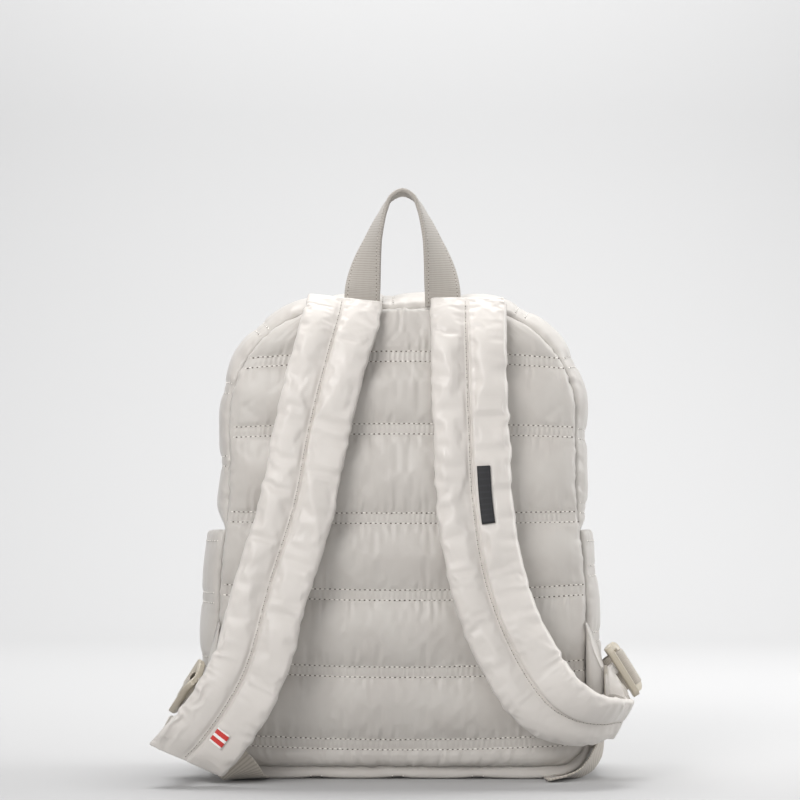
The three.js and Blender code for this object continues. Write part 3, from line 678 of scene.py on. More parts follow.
def wallBase(rows, low, high):
    def base(along, v):
        along = np.clip(along, rows[0], rows[-1])
        v = np.clip(v, low, high)
        toEdge = np.minimum(v - low, high - v) * seam["depth"] / 2
        folded = gusset["turnUnder"] * (roundRise(toEdge, gusset["turnReach"]) - 1)
        spot = wallPoint(along, v, wallSwell(along, v) + wallPuff(along, v, loftAt(along, rows)) + folded)
        inside = (1 - np.abs(v)) * seam["depth"] / 2
        roll = gusset["roll"] * np.exp(-((inside - gusset["rollAt"]) / gusset["rollReach"]) ** 2)
        spot[:, 1] += np.sign(v) * roll * underBaseAt(outlineHeight(along))  # rolls out under the base seam
        return spot
    return base


def wallRelief(rows, seed):
    folds = wallFolds

    def relief(along, v):
        z = outlineHeight(along)
        across = v * seam["depth"] / 2
        inside = (1 - np.abs(v)) * seam["depth"] / 2
        rim = crumple(along / folds["rimWave"] + inside / folds["rimSlant"], across / folds["long"], seed + 8)
        broad = crumple(along / folds["broadWave"][0], across / folds["broadWave"][1], seed + 4)
        gathered = gatherRelief(across, along, rows, seed, folds["gather"])
        gathered = gathered * roundRise(inside, folds["flatRim"])
        shaped = gathered + folds["broad"] * broad + folds["rim"] * rim * np.exp(-inside / folds["rimReach"])
        return shaped * (1 - folds["calm"] * coveredAt(z)) * (z > folds["baseFlat"])
    return relief


def sideStart(z):
    return outlineParts["side"] + z - seam["bottom"] - seam["bottomRadius"]


mouthAlong = sideStart(pocketMouth)
archEnds = (mouthAlong + joinGap, outlineLength - mouthAlong - joinGap)
archSeams = [-217, -168, -121, -78, -35, 10, 52, 95, 138, 186]
lowerSeams = [-204, -154, -104, -54, -3, 47, 97, 147, 197]
archRows = quiltRows([outlineLength / 2 + at for at in archSeams], *archEnds)
lowerRows = quiltRows(lowerSeams, joinGap - mouthAlong, mouthAlong - joinGap)
wallStep = (0.35, 0.006)
wallStrips = {
    "gusset_back": {"rows": archRows, "low": -1, "high": -zipTape["edge"], "seed": 71},
    "gusset_front": {"rows": archRows, "low": zipTape["edge"], "high": 1, "seed": 83},
    "gusset_lower": {"rows": lowerRows, "low": -1, "high": 1, "seed": 97},
}
for name, strip in wallStrips.items():
    rows, low, high = strip["rows"], strip["low"], strip["high"]
    base = wallBase(rows, low, high)
    width = (high - low) * seam["depth"] / 2
    settled = settle(name + "_fill", base, gridStops(rows, filling["grid"]),
                     np.linspace(low, high, round(width / filling["grid"]) + 1), rows, [low, high], True)
    surface = dressed(base, wallRelief(rows, strip["seed"]), wallStep, -1, settled)
    # closer rows of points at the seams, where the cloth turns under
    shares = crowded(np.linspace(0, 1, round(width / gusset["width"]) + 1), gusset["closer"], 1)
    bm = layGrid(surface, gridStops(rows, gusset["step"], 3), low + (high - low) * shares,
                 (rows[-1] - rows[0], width), True)
    piece = finishMesh(name, bm, nylon)
    addWall(piece, clothWall)
    place(piece, name)
    for row in rows[1:-1]:
        line = np.linspace(low + gusset["stitchEnd"], high - gusset["stitchEnd"], gusset["stitchSamples"])
        sewRow("wall", surface, np.full_like(line, row), line, wallStep, -1)
    print(name, "made")

# the zip: two tapes and the closed coil between them
zipShape = {"teeth": 2.1, "tooth": (1.5, 4.6, 1.6), "rise": 0.4, "offset": 0.8, "stops": 240, "cut": 20}


def zipBase(along, v):
    return wallPoint(along, v, wallSwell(along, v) - gusset["wall"] + zipTape["tape"])


zipAlong = np.linspace(*archEnds, zipShape["stops"] + 1)
bm = layGrid(zipBase, zipAlong, np.linspace(-zipTape["halfWidth"], zipTape["halfWidth"], 9),
             (zipAlong[-1] - zipAlong[0], zipShape["cut"]), True)
piece = finishMesh("zip_tape", bm, zipFabric)
addWall(piece, zipTape["wall"])
place(piece, "zip")

bm = bmesh.new()
bmesh.ops.create_uvsphere(bm, u_segments=8, v_segments=4, radius=0.5)
toothMesh = keepMesh("zip_tooth", bm)
middleLine = np.zeros_like(zipAlong)
spots = zipBase(zipAlong, middleLine)
length = runLength(spots)
toothAt = np.arange(1, length[-1] - 1, zipShape["teeth"] / 2)
toothWay = readAt(toothAt + 0.5, length, spots) - readAt(toothAt - 0.5, length, spots)
toothNormal = readAt(toothAt, length, -outward(zipBase, zipAlong, middleLine, wallStep))
teeth = []
for spot, way, normal in zip(readAt(toothAt, length, spots), toothWay, toothNormal):
    side = 1 if len(teeth) % 2 else -1
    tooth = stitchFrame(spot, way, normal, zipShape["tooth"], (0, zipShape["rise"]))
    teeth.append(Matrix.Translation((0, side * zipShape["offset"] * mm, 0)) @ tooth)
addTrim(scatter("zip_coil", toothMesh, teeth, zipFabric))
print("zip made,", len(teeth), "teeth")

# slip pockets on the sides
pocket = {"fullAt": 84, "bottom": 22, "wall": 2.2, "puff": 1.5, "edge": 0.97, "halfWidth": 48, "rimReach": 4,
          "standOff": 0.3, "hem": 0.9, "hemReach": 4, "hemStitch": 7, "clothWall": 1.8, "step": 1.8,
          "columns": 54, "fillStep": 3.6, "fillColumns": 28, "cut": (142, 97), "fill": 0.4,
          "stitchEnd": 0.93, "stitchSamples": 80}
pocketFolds = {"rim": 0.5, "rimWave": 3.2, "rimReach": 7, "long": 20, "broad": 0.8, "broadWave": (22, 26),
               "broadReach": 14, "gather": 0.8, "flatRim": 4}
pocketSides = {
    "pocket_right": {"side": 1, "mouth": 6, "belly": 8, "seams": [93, 137], "seed": 113},
    "pocket_left": {"side": -1, "mouth": 11.5, "belly": 12.5, "seams": [76, 119], "seed": 127},
}


def pocketInside(v):
    return (1 - np.abs(v) / pocket["edge"]) * pocket["halfWidth"]


def pocketBase(shape, rows):
    def base(up, v):
        up = np.clip(up, rows[0], rows[-1])
        v = np.clip(v, -pocket["edge"], pocket["edge"])
        along = shape["side"] * sideStart(up)
        belly = smooth(up, pocket["bottom"], pocket["fullAt"]) * shape["belly"]
        hollow = belly + (shape["mouth"] - belly) * smooth(up, pocket["fullAt"], pocketMouth)
        edgeRise = roundRise(1 - np.abs(v) / pocket["edge"], gusset["rimReach"])
        lift = wallSwell(along, v) + wallPuff(along, v, 1) + pocket["standOff"]
        lift = lift + hollow * (1 - (v / pocket["edge"]) ** 2)
        lift = lift + pocket["wall"] * roundRise(pocketInside(v), pocket["rimReach"])
        lift = lift + pocket["puff"] * loftAt(up, rows) * edgeRise
        return wallPoint(along, v, lift + pocket["hem"] * (roundRise(rows[-1] - up, pocket["hemReach"]) - 1))
    return base


def pocketRelief(rows, seed):
    folds = pocketFolds

    def relief(up, v):
        across = v * seam["depth"] / 2
        inside = pocketInside(v)
        rim = crumple(up / folds["rimWave"], across / folds["long"], seed + 8)
        rim = rim * np.exp(-inside / folds["rimReach"])
        broad = crumple(up / folds["broadWave"][0], across / folds["broadWave"][1], seed + 4)
        gathered = gatherRelief(across, up, rows, seed, folds["gather"])
        gathered = gathered * roundRise(inside, folds["flatRim"])
        return gathered + folds["broad"] * broad * roundRise(inside, folds["broadReach"]) + folds["rim"] * rim
    return relief


for name, shape in pocketSides.items():
    rows = quiltRows(shape["seams"], pocket["bottom"], pocketMouth - joinGap)
    base = pocketBase(shape, rows)
    edges = [-pocket["edge"], pocket["edge"]]
    settled = settle(name + "_fill", base, gridStops(rows, pocket["fillStep"]),
                     np.linspace(*edges, pocket["fillColumns"] + 1), rows, edges, shape["side"] > 0)
    surface = dressed(base, pocketRelief(rows, shape["seed"]), wallStep, -shape["side"], settled)
    bm = layGrid(surface, gridStops(rows, pocket["step"], 3), np.linspace(*edges, pocket["columns"] + 1),
                 pocket["cut"], shape["side"] > 0)
    piece = finishMesh(name, bm, nylon)
    addWall(piece, pocket["clothWall"])
    place(piece, name)
    for row in list(rows[1:-1]) + [rows[-1] - pocket["hemStitch"]]:
        line = np.linspace(-pocket["stitchEnd"], pocket["stitchEnd"], pocket["stitchSamples"])
        sewRow("pockets", surface, np.full_like(line, row), line, wallStep, -shape["side"])
    print(name, "made")


# bands along a smooth path: shoulder straps, webbing, handle and tabs
def smoothPath(points, share):
    points = np.array(points, float)
    guarded = np.vstack([2 * points[0] - points[1], points, 2 * points[-1] - points[-2]])
    spot = np.clip(share, 0, 1) * (len(points) - 1)
    i = np.minimum(np.floor(spot).astype(int), len(points) - 2)
    w = (spot - i)[:, None]
    p0, p1, p2, p3 = (guarded[i + k] for k in range(4))
    d0, d1, d2 = (np.maximum(np.linalg.norm(b - a, axis=1, keepdims=True), 1e-6) ** 0.5
                  for a, b in ((p0, p1), (p1, p2), (p2, p3)))
    leave = ((p1 - p0) / d0 - (p2 - p0) / (d0 + d1) + (p2 - p1) / d1) * d1
    arrive = ((p2 - p1) / d1 - (p3 - p1) / (d1 + d2) + (p3 - p2) / d2) * d1
    return (p1 + leave * w + (-3 * p1 + 3 * p2 - 2 * leave - arrive) * w ** 2
            + (2 * p1 - 2 * p2 + leave + arrive) * w ** 3)


# rows hold a point and either a face or an across direction, with the other columns beside them
def bandTable(points, guides, columns, guideIsFace, samples=600):
    share = np.linspace(0, 1, samples + 1)
    path = smoothPath(points, share)
    way = unit(smoothPath(points, share + 2e-4) - smoothPath(points, share - 2e-4))
    knots = range(len(points))
    spot = share * (len(points) - 1)
    guide = readAt(spot, knots, np.array(guides))
    if guideIsFace:
        across = unit(np.cross(guide, way))
    else:
        across = unit(guide - way * np.sum(guide * way, axis=1, keepdims=True))
    table = {"share": share, "point": path, "across": across, "out": np.cross(way, across), "way": way,
             "length": runLength(path)}
    for name, values in columns.items():
        table[name] = np.interp(spot, knots, values)
    return table


def bandAt(table, share):
    row = {}
    for name, values in table.items():
        if values.ndim == 1:
            row[name] = np.interp(share, table["share"], values)
        else:
            row[name] = readAt(share, table["share"], values)
    return row


def onBand(row, across, out):
    return row["point"] + row["across"] * across[:, None] + row["out"] * out[:, None]


def faceWay(turn, rise):
    turn, rise = math.radians(turn), math.radians(rise)
    return (math.sin(turn) * math.cos(rise), -math.cos(turn) * math.cos(rise), math.sin(rise))


# closes a tube of cloth: joins its long edge and covers its two ends
def closeTube(bm, reach=0.02):
    bmesh.ops.remove_doubles(bm, verts=bm.verts[:], dist=reach * mm)
    ends = [edge for edge in bm.edges if edge.is_boundary]
    if ends:
        bmesh.ops.holes_fill(bm, edges=ends, sides=0)
    bmesh.ops.recalc_face_normals(bm, faces=bm.faces[:])
    return bm


# shoulder straps: x, y, z, the way the outer face looks (turn, rise), width, padded thickness, end slant
strapRows = {
    "strap_right": [
        (43.5, -57.2, 317.5, 0, 40, 50, 4, 0), (43.6, -64, 305, 0, 18, 51, 7.5, 0),
        (43.8, -71.5, 284, 0, 10, 50, 11, 0), (45.3, -77.5, 231, 0, 3, 50, 11, 0),
        (47.8, -81, 180, 2, 3, 50, 11, 0), (53.4, -86, 141.5, 4, 3, 50, 11, 0),
        (60.3, -90, 116, 4, 2, 50, 11, 0), (70.5, -94, 91, 4, -2, 50, 11, 0),
        (85, -97, 66, 4, -12, 50, 11, 0), (97, -97, 52.5, 6, -24, 49, 11, 0),
        (112, -92, 44.5, 14, -38, 47, 11, 0), (129, -82, 41, 26, -44, 43, 9, 0),
        (143.5, -71, 41.5, 40, -40, 34, 5, 0),
    ],
    "strap_left": [
        (-37.8, -57.2, 317.5, 0, 40, 50, 4, 0), (-40.2, -64.4, 305, 0, 18, 51, 7.5, 0),
        (-46, -72, 284, 0, 10, 50, 11, 0), (-59, -77.5, 231, -2, 4, 50, 11, 0),
        (-68.5, -82, 180, -3, 4, 50, 11, 0), (-84.1, -88, 128.5, -4, 4, 50, 11, 0),
        (-97.5, -94, 78, -4, 2, 50, 11, 0), (-110, -97, 53, -4, -2, 50, 11, 0),
        (-128, -97, 28, -6, -10, 50, 10, 0), (-138.7, -92.5, 17, -10, -24, 49, 5, 8),
    ],
}
strap = {"edge": 3.2, "seam": 3.6, "band": 0.13, "crease": 0.34, "creaseWidth": 0.03, "edgeRoll": 0.1,
         "columns": 52, "closer": 0.4, "backColumns": 20, "step": 1.3, "fillColumns": (11, 12),
         "fillStep": 0.45, "slack": 0.014, "cut": 104, "fill": 0.7, "stitchPitch": 2.8, "stitchAt": 0.55,
         "stitchSpan": (0.012, 0.985), "stitchSamples": 400}
strapStep = (0.012, 0.0012)
strapSeeds = {"strap_right": 131, "strap_left": 141}
backSeed = 6  # added to a strap's seed for its inner face
strapTables = {}


def strapProfile(lobe, a, pad):
    thin = np.minimum(strap["seam"] + (strap["edge"] - strap["seam"]) * np.abs(a), pad)
    return (thin + (pad - thin) * lobe) / 2 * roundRise(1 - np.abs(a), strap["edgeRoll"])


def strapFront(a, pad):
    left = np.clip((-a - strap["band"]) / (1 - strap["band"]), 0, 1)
    right = np.clip(a, 0, 1)
    lobe = np.where(a < 0, np.sin(np.pi * left) ** 0.55, np.sin(np.pi * right ** 0.8) ** 0.36)
    # the crease where the right lobe folds over the seam
    return strapProfile(lobe - strap["crease"] * np.exp(-(a / strap["creaseWidth"]) ** 2), a, pad)


def strapBack(a, pad):
    return -strapProfile(np.sin(np.pi * np.clip(np.abs(a), 0, 1)) ** 0.6, a, pad)


# woven tabs sewn flat on the straps
labels = {
    "label_right": {"strap": "strap_right", "from": 0.291, "to": 0.36, "inner": 0.1, "outer": 0.44,
                    "finish": blackRibbon, "slot": "dark_label"},
    "label_left": {"strap": "strap_left", "from": 0.833, "to": 0.867, "inner": 0.09, "outer": 0.47,
                   "finish": redRibbon, "slot": "red_label"},
}
label = {"lift": 1.1, "thick": 0.9, "halfStrap": 25, "holdAcross": 0.12, "holdAlong": 0.012, "hold": 0.9}
lowerEnd = {"calm": 0.6, "from": 0.5, "to": 0.8, "edge": 0.05, "middle": 0.45}  # pulled smooth


# 1 on loose cloth, near 0 where a label holds it flat
def looseAt(strapName, a, share):
    held = 0
    for shape in labels.values():
        if shape["strap"] == strapName:
            aside = np.maximum(shape["inner"] - a, a - shape["outer"]) / label["holdAcross"]
            beyond = np.maximum(shape["from"] - share, share - shape["to"]) / label["holdAlong"]
            held = held + np.clip(1 - np.maximum(np.maximum(aside, 0), beyond), 0, 1)
    smoothed = smooth(share, lowerEnd["from"], lowerEnd["to"])
    smoothed = smoothed * smooth(1 - np.abs(a), lowerEnd["edge"], lowerEnd["middle"])
    return (1 - label["hold"] * held) * (1 - lowerEnd["calm"] * smoothed)


# gathers along the seams of a strap: scalloped edges, creases running in from them, puckers at the middle
strapGathers = {"edgeWave": 5.2, "edgeHeight": 1.7, "edgeReach": 8, "edgeGroup": 8, "wander": (13, 14),
                "scallop": 1.1, "seamWave": 3.1, "seamHeight": 1.2, "seamReach": 5,
                "broad": 0.55, "broadWave": 19, "broadReach": 8}
# the left strap's outer edge is drawn together above its end
drawnEdge = {"strap": "strap_left", "from": 0.74, "full": 0.8, "inner": 0.5, "outer": 0.62, "height": 2.4,
             "wave": 2.6, "along": 11, "wander": 8}


def strapSurface(strapName, table, profile, seed, edgeSeed):
    folds = strapGathers

    def surface(a, share):
        a, share = np.clip(a, -1, 1), np.clip(share, 0, 1)
        row = bandAt(table, share)
        along, half = row["length"], row["width"] / 2
        side = np.where(a < 0, 0, 40)  # the two edges have folds of their own
        toEdge, toSeam = (1 - np.abs(a)) * half, np.abs(a) * half
        wander = crumple(along / folds["wander"][0], side + toEdge / folds["wander"][1], seed + 6)
        crease = 0.7 - 2 * np.abs(crumple(along / folds["edgeWave"] + 0.5 * wander, side + 0.5, seed))
        longer = 0.5 + 0.5 * crumple(along / folds["edgeGroup"], side + 3.5, seed + 1)
        reach = folds["edgeReach"] * (0.5 + 0.9 * longer)
        relief = folds["edgeHeight"] * crease * np.exp(-toEdge / reach) * np.clip(toEdge / 2, 0.25, 1)
        pucker = folds["seamHeight"] * crumple(along / folds["seamWave"], side + 7.5, seed + 2)
        relief = relief + pucker * np.exp(-toSeam / folds["seamReach"]) * np.clip(toSeam / 1.5, 0.2, 1)
        broad = folds["broad"] * crumple(along / folds["broadWave"], a * 2.2, seed + 3)
        relief = relief + broad * np.clip(toEdge / folds["broadReach"], 0, 1)
        if strapName == drawnEdge["strap"]:
            drawn = smooth(share, drawnEdge["from"], drawnEdge["full"])
            drawn = drawn * smooth(-a, drawnEdge["inner"], drawnEdge["outer"]) * np.clip(toEdge / 2, 0.3, 1)
            slip = crumple(along / drawnEdge["wander"], side + 1.5, seed + 4)
            tuck = crumple(toEdge / drawnEdge["wave"] + slip, along / drawnEdge["along"], seed + 5)
            relief = relief + drawnEdge["height"] * drawn * tuck
        relief = relief * looseAt(strapName, a, share)
        scallop = folds["scallop"] * crumple(along / folds["edgeWave"], side + 0.5, edgeSeed) * np.abs(a) ** 8
        plain = profile(a, row["pad"])
        lifted = np.abs(plain) + relief * np.clip(row["pad"] / 8, 0.3, 1) * roundRise(1 - np.abs(a), 0.08)
        lift = np.sign(plain) * np.maximum(lifted, 0.35 * np.abs(plain))
        return onBand(row, a * half + np.sign(a) * scallop, lift) - row["way"] * (a * row["skew"])[:, None]
    return surface


def makeStrap(name, rows, seed):
    *axes, turns, rises, widths, pads, skews = zip(*rows)
    faces = [faceWay(turn, rise) for turn, rise in zip(turns, rises)]
    table = bandTable(list(zip(*axes)), faces, {"width": widths, "pad": pads, "skew": skews}, True)
    strapTables[name] = table
    plainFront = strapSurface(name, table, strapFront, seed, seed)
    back = strapSurface(name, table, strapBack, seed + backSeed, seed)
    count = round(table["length"][-1] / strap["step"])
    leftStops, rightStops = strap["fillColumns"]
    coarse = np.concatenate([np.linspace(-1, -strap["band"], leftStops), np.linspace(0, 1, rightStops)])
    settled = settle(name + "_fill", plainFront, coarse, np.linspace(0, 1, round(count * strap["fillStep"])),
                     [-1, -strap["band"], 0, 1], [0, 1], True, strap["slack"])

    def front(a, share):
        spot = plainFront(a, share)
        if settled is None:
            return spot
        return spot + settledAt(settled, a, share) * looseAt(name, a, share)[:, None]

    # once round the strap: over the outer face, then back under it
    def around(w, share):
        over = w <= 1
        a = np.where(over, 2 * w - 1, 3 - 2 * w)
        return np.where(over[:, None], front(a, share), back(a, share))

    # closer columns at the edges and the seam
    frontStops = crowded(np.linspace(0, 1, strap["columns"] + 1), strap["closer"], 2)
    stops = np.concatenate([frontStops, np.linspace(1, 2, strap["backColumns"] + 1)[1:]])
    bm = layGrid(around, stops, np.linspace(0, 1, count + 1), (strap["cut"], table["length"][-1]))
    piece = finishMesh(name, closeTube(bm), strapNylonPaintedLighter)
    place(piece, name)
    line = np.linspace(*strap["stitchSpan"], strap["stitchSamples"])
    seamLine = np.full_like(line, -strap["band"] * strap["stitchAt"])
    sewRow("straps", front, seamLine, line, strapStep, -1, strap["stitchPitch"])
    print(name, "made")


for name, rows in strapRows.items():
    makeStrap(name, rows, strapSeeds[name])


def makeLabel(name, shape):
    table = strapTables[shape["strap"]]

    def tabFace(a, share):
        row = bandAt(table, share)
        return onBand(row, a * row["width"] / 2, strapFront(a, row["pad"]) + label["lift"])

    ends = np.interp([shape["from"], shape["to"]], table["share"], table["length"])
    cut = ((shape["outer"] - shape["inner"]) * label["halfStrap"], ends[1] - ends[0])
    bm = layGrid(tabFace, np.linspace(shape["inner"], shape["outer"], 9),
                 np.linspace(shape["from"], shape["to"], 25), cut)
    bmesh.ops.recalc_face_normals(bm, faces=bm.faces[:])
    piece = finishMesh(name, bm, shape["finish"])
    addWall(piece, label["thick"], 0)
    place(piece, name)


for name, shape in labels.items():
    makeLabel(name, shape)
print("labels made")


# flat bands: webbing, handle and tabs share one rounded section
band = {"squareness": 0.35, "ring": 33, "pleatedRing": 65, "offFloor": 0.05}


def bandPiece(name, table, material, steps, pleats=None):
    def around(w, share):
        row = bandAt(table, share)
        angle = w * 2 * math.pi
        across = np.sign(np.cos(angle)) * np.minimum(np.abs(np.cos(angle)) ** band["squareness"], 1)
        out = np.sign(np.sin(angle)) * np.abs(np.sin(angle)) ** band["squareness"]
        shift = 0 if pleats is None else pleats(across, row)
        spot = onBand(row, across * row["width"] / 2, out * row["thick"] / 2 + shift)
        return aboveFloor(spot, band["offFloor"])

    ring = np.linspace(0, 1, band["ring"] if pleats is None else band["pleatedRing"])
    cut = (2 * float(np.max(table["width"])), table["length"][-1])
    return finishMesh(name, closeTube(layGrid(around, ring, np.linspace(0, 1, steps + 1), cut)), material)


# carry handle: turns on edge over its arch; right half as x, y, z and turn
handleRows = [
    (27, -53.4, 312.8, 0), (26.6, -53.2, 324, 8), (24.5, -51.5, 340, 34), (20, -50, 358, 60),
    (13.5, -49.5, 376, 78), (8, -49.5, 386, 86), (0, -49.5, 390, 90),
]
handle = {"width": 24, "thick": 3, "steps": 200, "hemInset": 2.4, "pitch": 2.6, "stitchLift": 0.05,
          "stitchSpan": (0.02, 0.98), "stitchSamples": 300, "step": (0.02, 0.002)}
handleLeft = [(-x, y, z, turn, -1) for x, y, z, turn in handleRows]
handleRight = [(x, y, z, turn, 1) for x, y, z, turn in handleRows[:-1]][::-1]
handlePath = handleLeft + handleRight
handleTable = bandTable(
    [row[:3] for row in handlePath],
    [(row[4] * math.cos(math.radians(row[3])), math.sin(math.radians(row[3])), 0) for row in handlePath],
    {name: [handle[name]] * len(handlePath) for name in ("width", "thick")}, False)
place(bandPiece("handle", handleTable, webbingFabric, handle["steps"]), "handle")
for side in (-1, 1):
    def handleFace(a, share):
        row = bandAt(handleTable, share)
        return onBand(row, a * (row["width"] / 2 - handle["hemInset"]), side * row["thick"] / 2)

    for a in (-1, 1):
        line = np.linspace(*handle["stitchSpan"], handle["stitchSamples"])
        sewRow("handle", handleFace, np.full_like(line, a), line, handle["step"], side, handle["pitch"],
               handle["stitchLift"])
print("handle made")

# ladder-lock buckles: centre, across direction, and where the face looks
buckle = {"width": 37, "thick": 4.4, "corner": 5, "slot": 26.6, "round": 1.1, "curl": 0.02, "curlEnd": 190,
          "set": -1, "sharp": 0.7, "bars": [-13.5, -9.5, -2.4, 2.4, 9, 13.5], "slotRows": (1, 3)}
buckleSpots = {
    "right": {"centre": (146.5, -38, 71), "across": (0.55, 0, -0.83), "turn": 76, "rise": 31},
    "left": {"centre": (-142.6, -40, 59), "across": (0.45, -0.72, 0.53), "turn": -84, "rise": 30},
}


def buckleAxes(side):
    spot = buckleSpots[side]
    face = Vector(faceWay(spot["turn"], spot["rise"]))
    across = Vector(spot["across"])
    across = (across - face * across.dot(face)).normalized()
    return Vector(spot["centre"]), across, face.cross(across), face


# the end bars curl towards the face, and a band past them keeps the curl's last height
def buckleCurl(along):
    return buckle["curl"] * min(along ** 2, buckle["curlEnd"]) + buckle["set"]


def picked(geom, kind):
    return [item for item in geom if isinstance(item, kind)]


def makeBuckle(side):
    bm = bmesh.new()
    bmesh.ops.create_grid(bm, x_segments=3, y_segments=5, size=0.5)
    half = buckle["width"] / 2
    columns = [-half, -buckle["slot"] / 2, buckle["slot"] / 2, half]
    middles = {face: face.calc_center_median() for face in bm.faces}
    slots = [face for face, spot in middles.items()
             if abs(spot.x) < 0.1 and round((spot.y + 0.4) * 5) in buckle["slotRows"]]
    for vert in bm.verts:
        column, bar = round((vert.co.x + 0.5) * 3), round((vert.co.y + 0.5) * 5)
        vert.co = (columns[column], buckle["bars"][bar], -buckle["thick"] / 2)
    bmesh.ops.delete(bm, geom=slots, context="FACES_ONLY")
    raised = bmesh.ops.extrude_face_region(bm, geom=bm.faces[:])
    bmesh.ops.translate(bm, vec=(0, 0, buckle["thick"]), verts=picked(raised["geom"], bmesh.types.BMVert))
    bmesh.ops.recalc_face_normals(bm, faces=bm.faces[:])

    def atCorner(edge):
        low, high = (vert.co for vert in edge.verts)
        upright = abs(low.z - high.z) > buckle["thick"] / 2
        return upright and abs(low.x) > half - 0.5 and abs(low.y) > buckle["bars"][-1] - 0.5

    posts = [edge for edge in bm.edges if atCorner(edge)]
    bmesh.ops.bevel(bm, geom=posts, offset=buckle["corner"], affect="EDGES", segments=5, profile=0.5,
                    material=-1)
    sharp = [edge for edge in bm.edges if edge.calc_face_angle(0) > buckle["sharp"]]
    bmesh.ops.bevel(bm, geom=sharp, offset=buckle["round"], affect="EDGES", segments=3, profile=0.5,
                    material=-1)
    for vert in bm.verts:
        vert.co.z += buckleCurl(vert.co.y)
    centre, across, along, face = buckleAxes(side)
    turn = Matrix((across, along, face)).transposed().to_4x4()
    frameMatrix = Matrix.Translation(centre * mm) @ turn @ Matrix.Scale(mm, 4)
    bmesh.ops.transform(bm, matrix=frameMatrix, verts=bm.verts[:])
    place(finishMesh("buckle_" + side, bm, acetal), "buckle_" + side)


for side in ("right", "left"):
    makeBuckle(side)
print("buckles made")

# padded wings in the side seams, with a corded edge
wing = {"low": 43, "high": 104, "rootX": 121.7, "rootY": -52, "wall": 2, "pad": 17, "edgeRoll": 1.2,
        "cord": 1.3, "cordAt": 1.4, "cordWidth": 1.2, "crumple": 0.35, "seed": 151, "cut": (120, 13),
        "fill": 0.5}
wingTips = {
    "right": {"x": 132.2, "y": -57, "low": 51, "high": 74.5},
    "left": {"x": 129.5, "y": -56, "low": 42.6, "high": 66},
}
sides = {"right": 1, "left": -1}


def wingReach(side):
    root = np.array([wing["rootX"], wing["rootY"]])
    tip = np.array([wingTips[side]["x"], wingTips[side]["y"]])
    return root, tip, unit(tip - root)


def makeWing(side):
    root, tip, reach = wingReach(side)
    tips = wingTips[side]

    # once round the wing: up its outer face, then down the inner one
    def around(w, out):
        outerSide = np.where(w <= 1, 1.0, -1.0)
        up, out = np.clip(np.where(w <= 1, w, 2 - w), 0, 1), np.clip(out, 0, 1)
        low = wing["low"] * (1 - out) + tips["low"] * out
        height = (wing["high"] - wing["low"]) * (1 - out) + (tips["high"] - tips["low"]) * out
        fill = np.sin(np.pi * up) ** 0.5 * np.sin(np.pi * out) ** 0.9
        toEdge = np.minimum(up, 1 - up) * height
        half = (wing["wall"] * roundRise(toEdge, wing["edgeRoll"]) + (wing["pad"] - wing["wall"]) * fill) / 2
        half = half + wing["cord"] * np.exp(-((toEdge - wing["cordAt"]) / wing["cordWidth"]) ** 2)
        half = half + wing["crumple"] * crumple(up * 7, out * 6, wing["seed"]) * fill
        spot = root + (tip - root) * out[:, None]
        spot = spot + np.array([reach[1], -reach[0]]) * (outerSide * half)[:, None]
        return np.stack([sides[side] * spot[:, 0], spot[:, 1], low + height * up], axis=-1)

    bm = layGrid(around, np.linspace(0, 2, 81), np.linspace(0, 1, 21), wing["cut"])
    piece = finishMesh("wing_" + side, closeTube(bm), nylon)
    place(piece, "wing_" + side)


# a spot on a buckle, by distance along its frame and out of its face
def onBuckle(side, spot):
    centre, _, along, face = buckleAxes(side)
    return tuple(centre + along * spot[0] + face * (spot[1] + buckleCurl(spot[0])))


# adjusting webbing: point and across direction, from the wing to the buckle's back and from the buckle down
leadRows = {
    "right": [(135.7, -53, 62.8, 0.22, 0.07, -0.97), (136, -46, 63.2, 0.47, 0.22, -0.86)],
    "left": [(-135, -56, 54.2, 0, 0.02, 1), (-137, -51.5, 53, 0.28, 0.06, 0.95)],
}
tailRows = {
    "right": [
        (142.9, -30.7, 67.2, 0.6, -0.42, -0.68), (137.6, -30.1, 60.4, 0.28, -0.88, -0.38),
        (133.5, -30.6, 48, 0, -1, -0.05), (135.6, -35.2, 36.9, 0.08, -1, 0),
        (133.4, -41.5, 27, -0.15, -0.98, 0), (130.6, -45, 19.8, -0.3, -0.94, 0.14),
        (125.6, -49, 12, -0.28, -0.91, 0.3), (117.3, -53.5, 5.6, -0.12, -0.94, 0.3),
        (106, -57.5, 2.6, 0, -0.98, 0.14), (94, -59, 1.4, 0, -1, 0),
    ],
    "left": [
        (-133.4, -33.5, 57.5, 0.45, -0.65, 0.6), (-133.6, -33.5, 50.5, 0.46, -0.58, 0.68),
        (-134.3, -42.1, 40.7, 0.31, -0.5, 0.81), (-136.6, -53, 32.9, 0.3, -0.57, 0.77),
        (-127, -60.5, 24.6, 0.55, -0.21, 0.81), (-115, -72.5, 16.5, 0.8, 0, 0.55),
        (-106.5, -72.5, 8.5, 0.75, -0.25, 0.58), (-102.6, -65.4, 3.3, 0.89, -0.4, 0.2),
        (-101, -57, 1.7, 0.97, -0.25, 0.05), (-100.5, -48.5, 1.2, 1, -0.1, 0),
    ],
}
# over the middle bar of the buckle: distance along the frame and out of its face
webbingLoops = {
    "right": [(-6.4, -9), (-5.6, -3.4), (-5, 2.4), (-2.6, 6.6), (0, 7.6), (2.6, 6.8), (5.2, 2.4), (6, -3.4),
              (6.4, -5.5)],
    "left": [(-6.4, -9), (-5.6, -3.4), (-4.9, 1.6), (-2.6, 4), (0, 4.6), (2.6, 4.1), (5.1, 1.6), (6, -3.4),
             (6.4, -5.5)],
}
webbing = {"width": 25, "thick": 1.6, "stubs": (0.9, 2.4), "steps": 420, "samples": 1200}


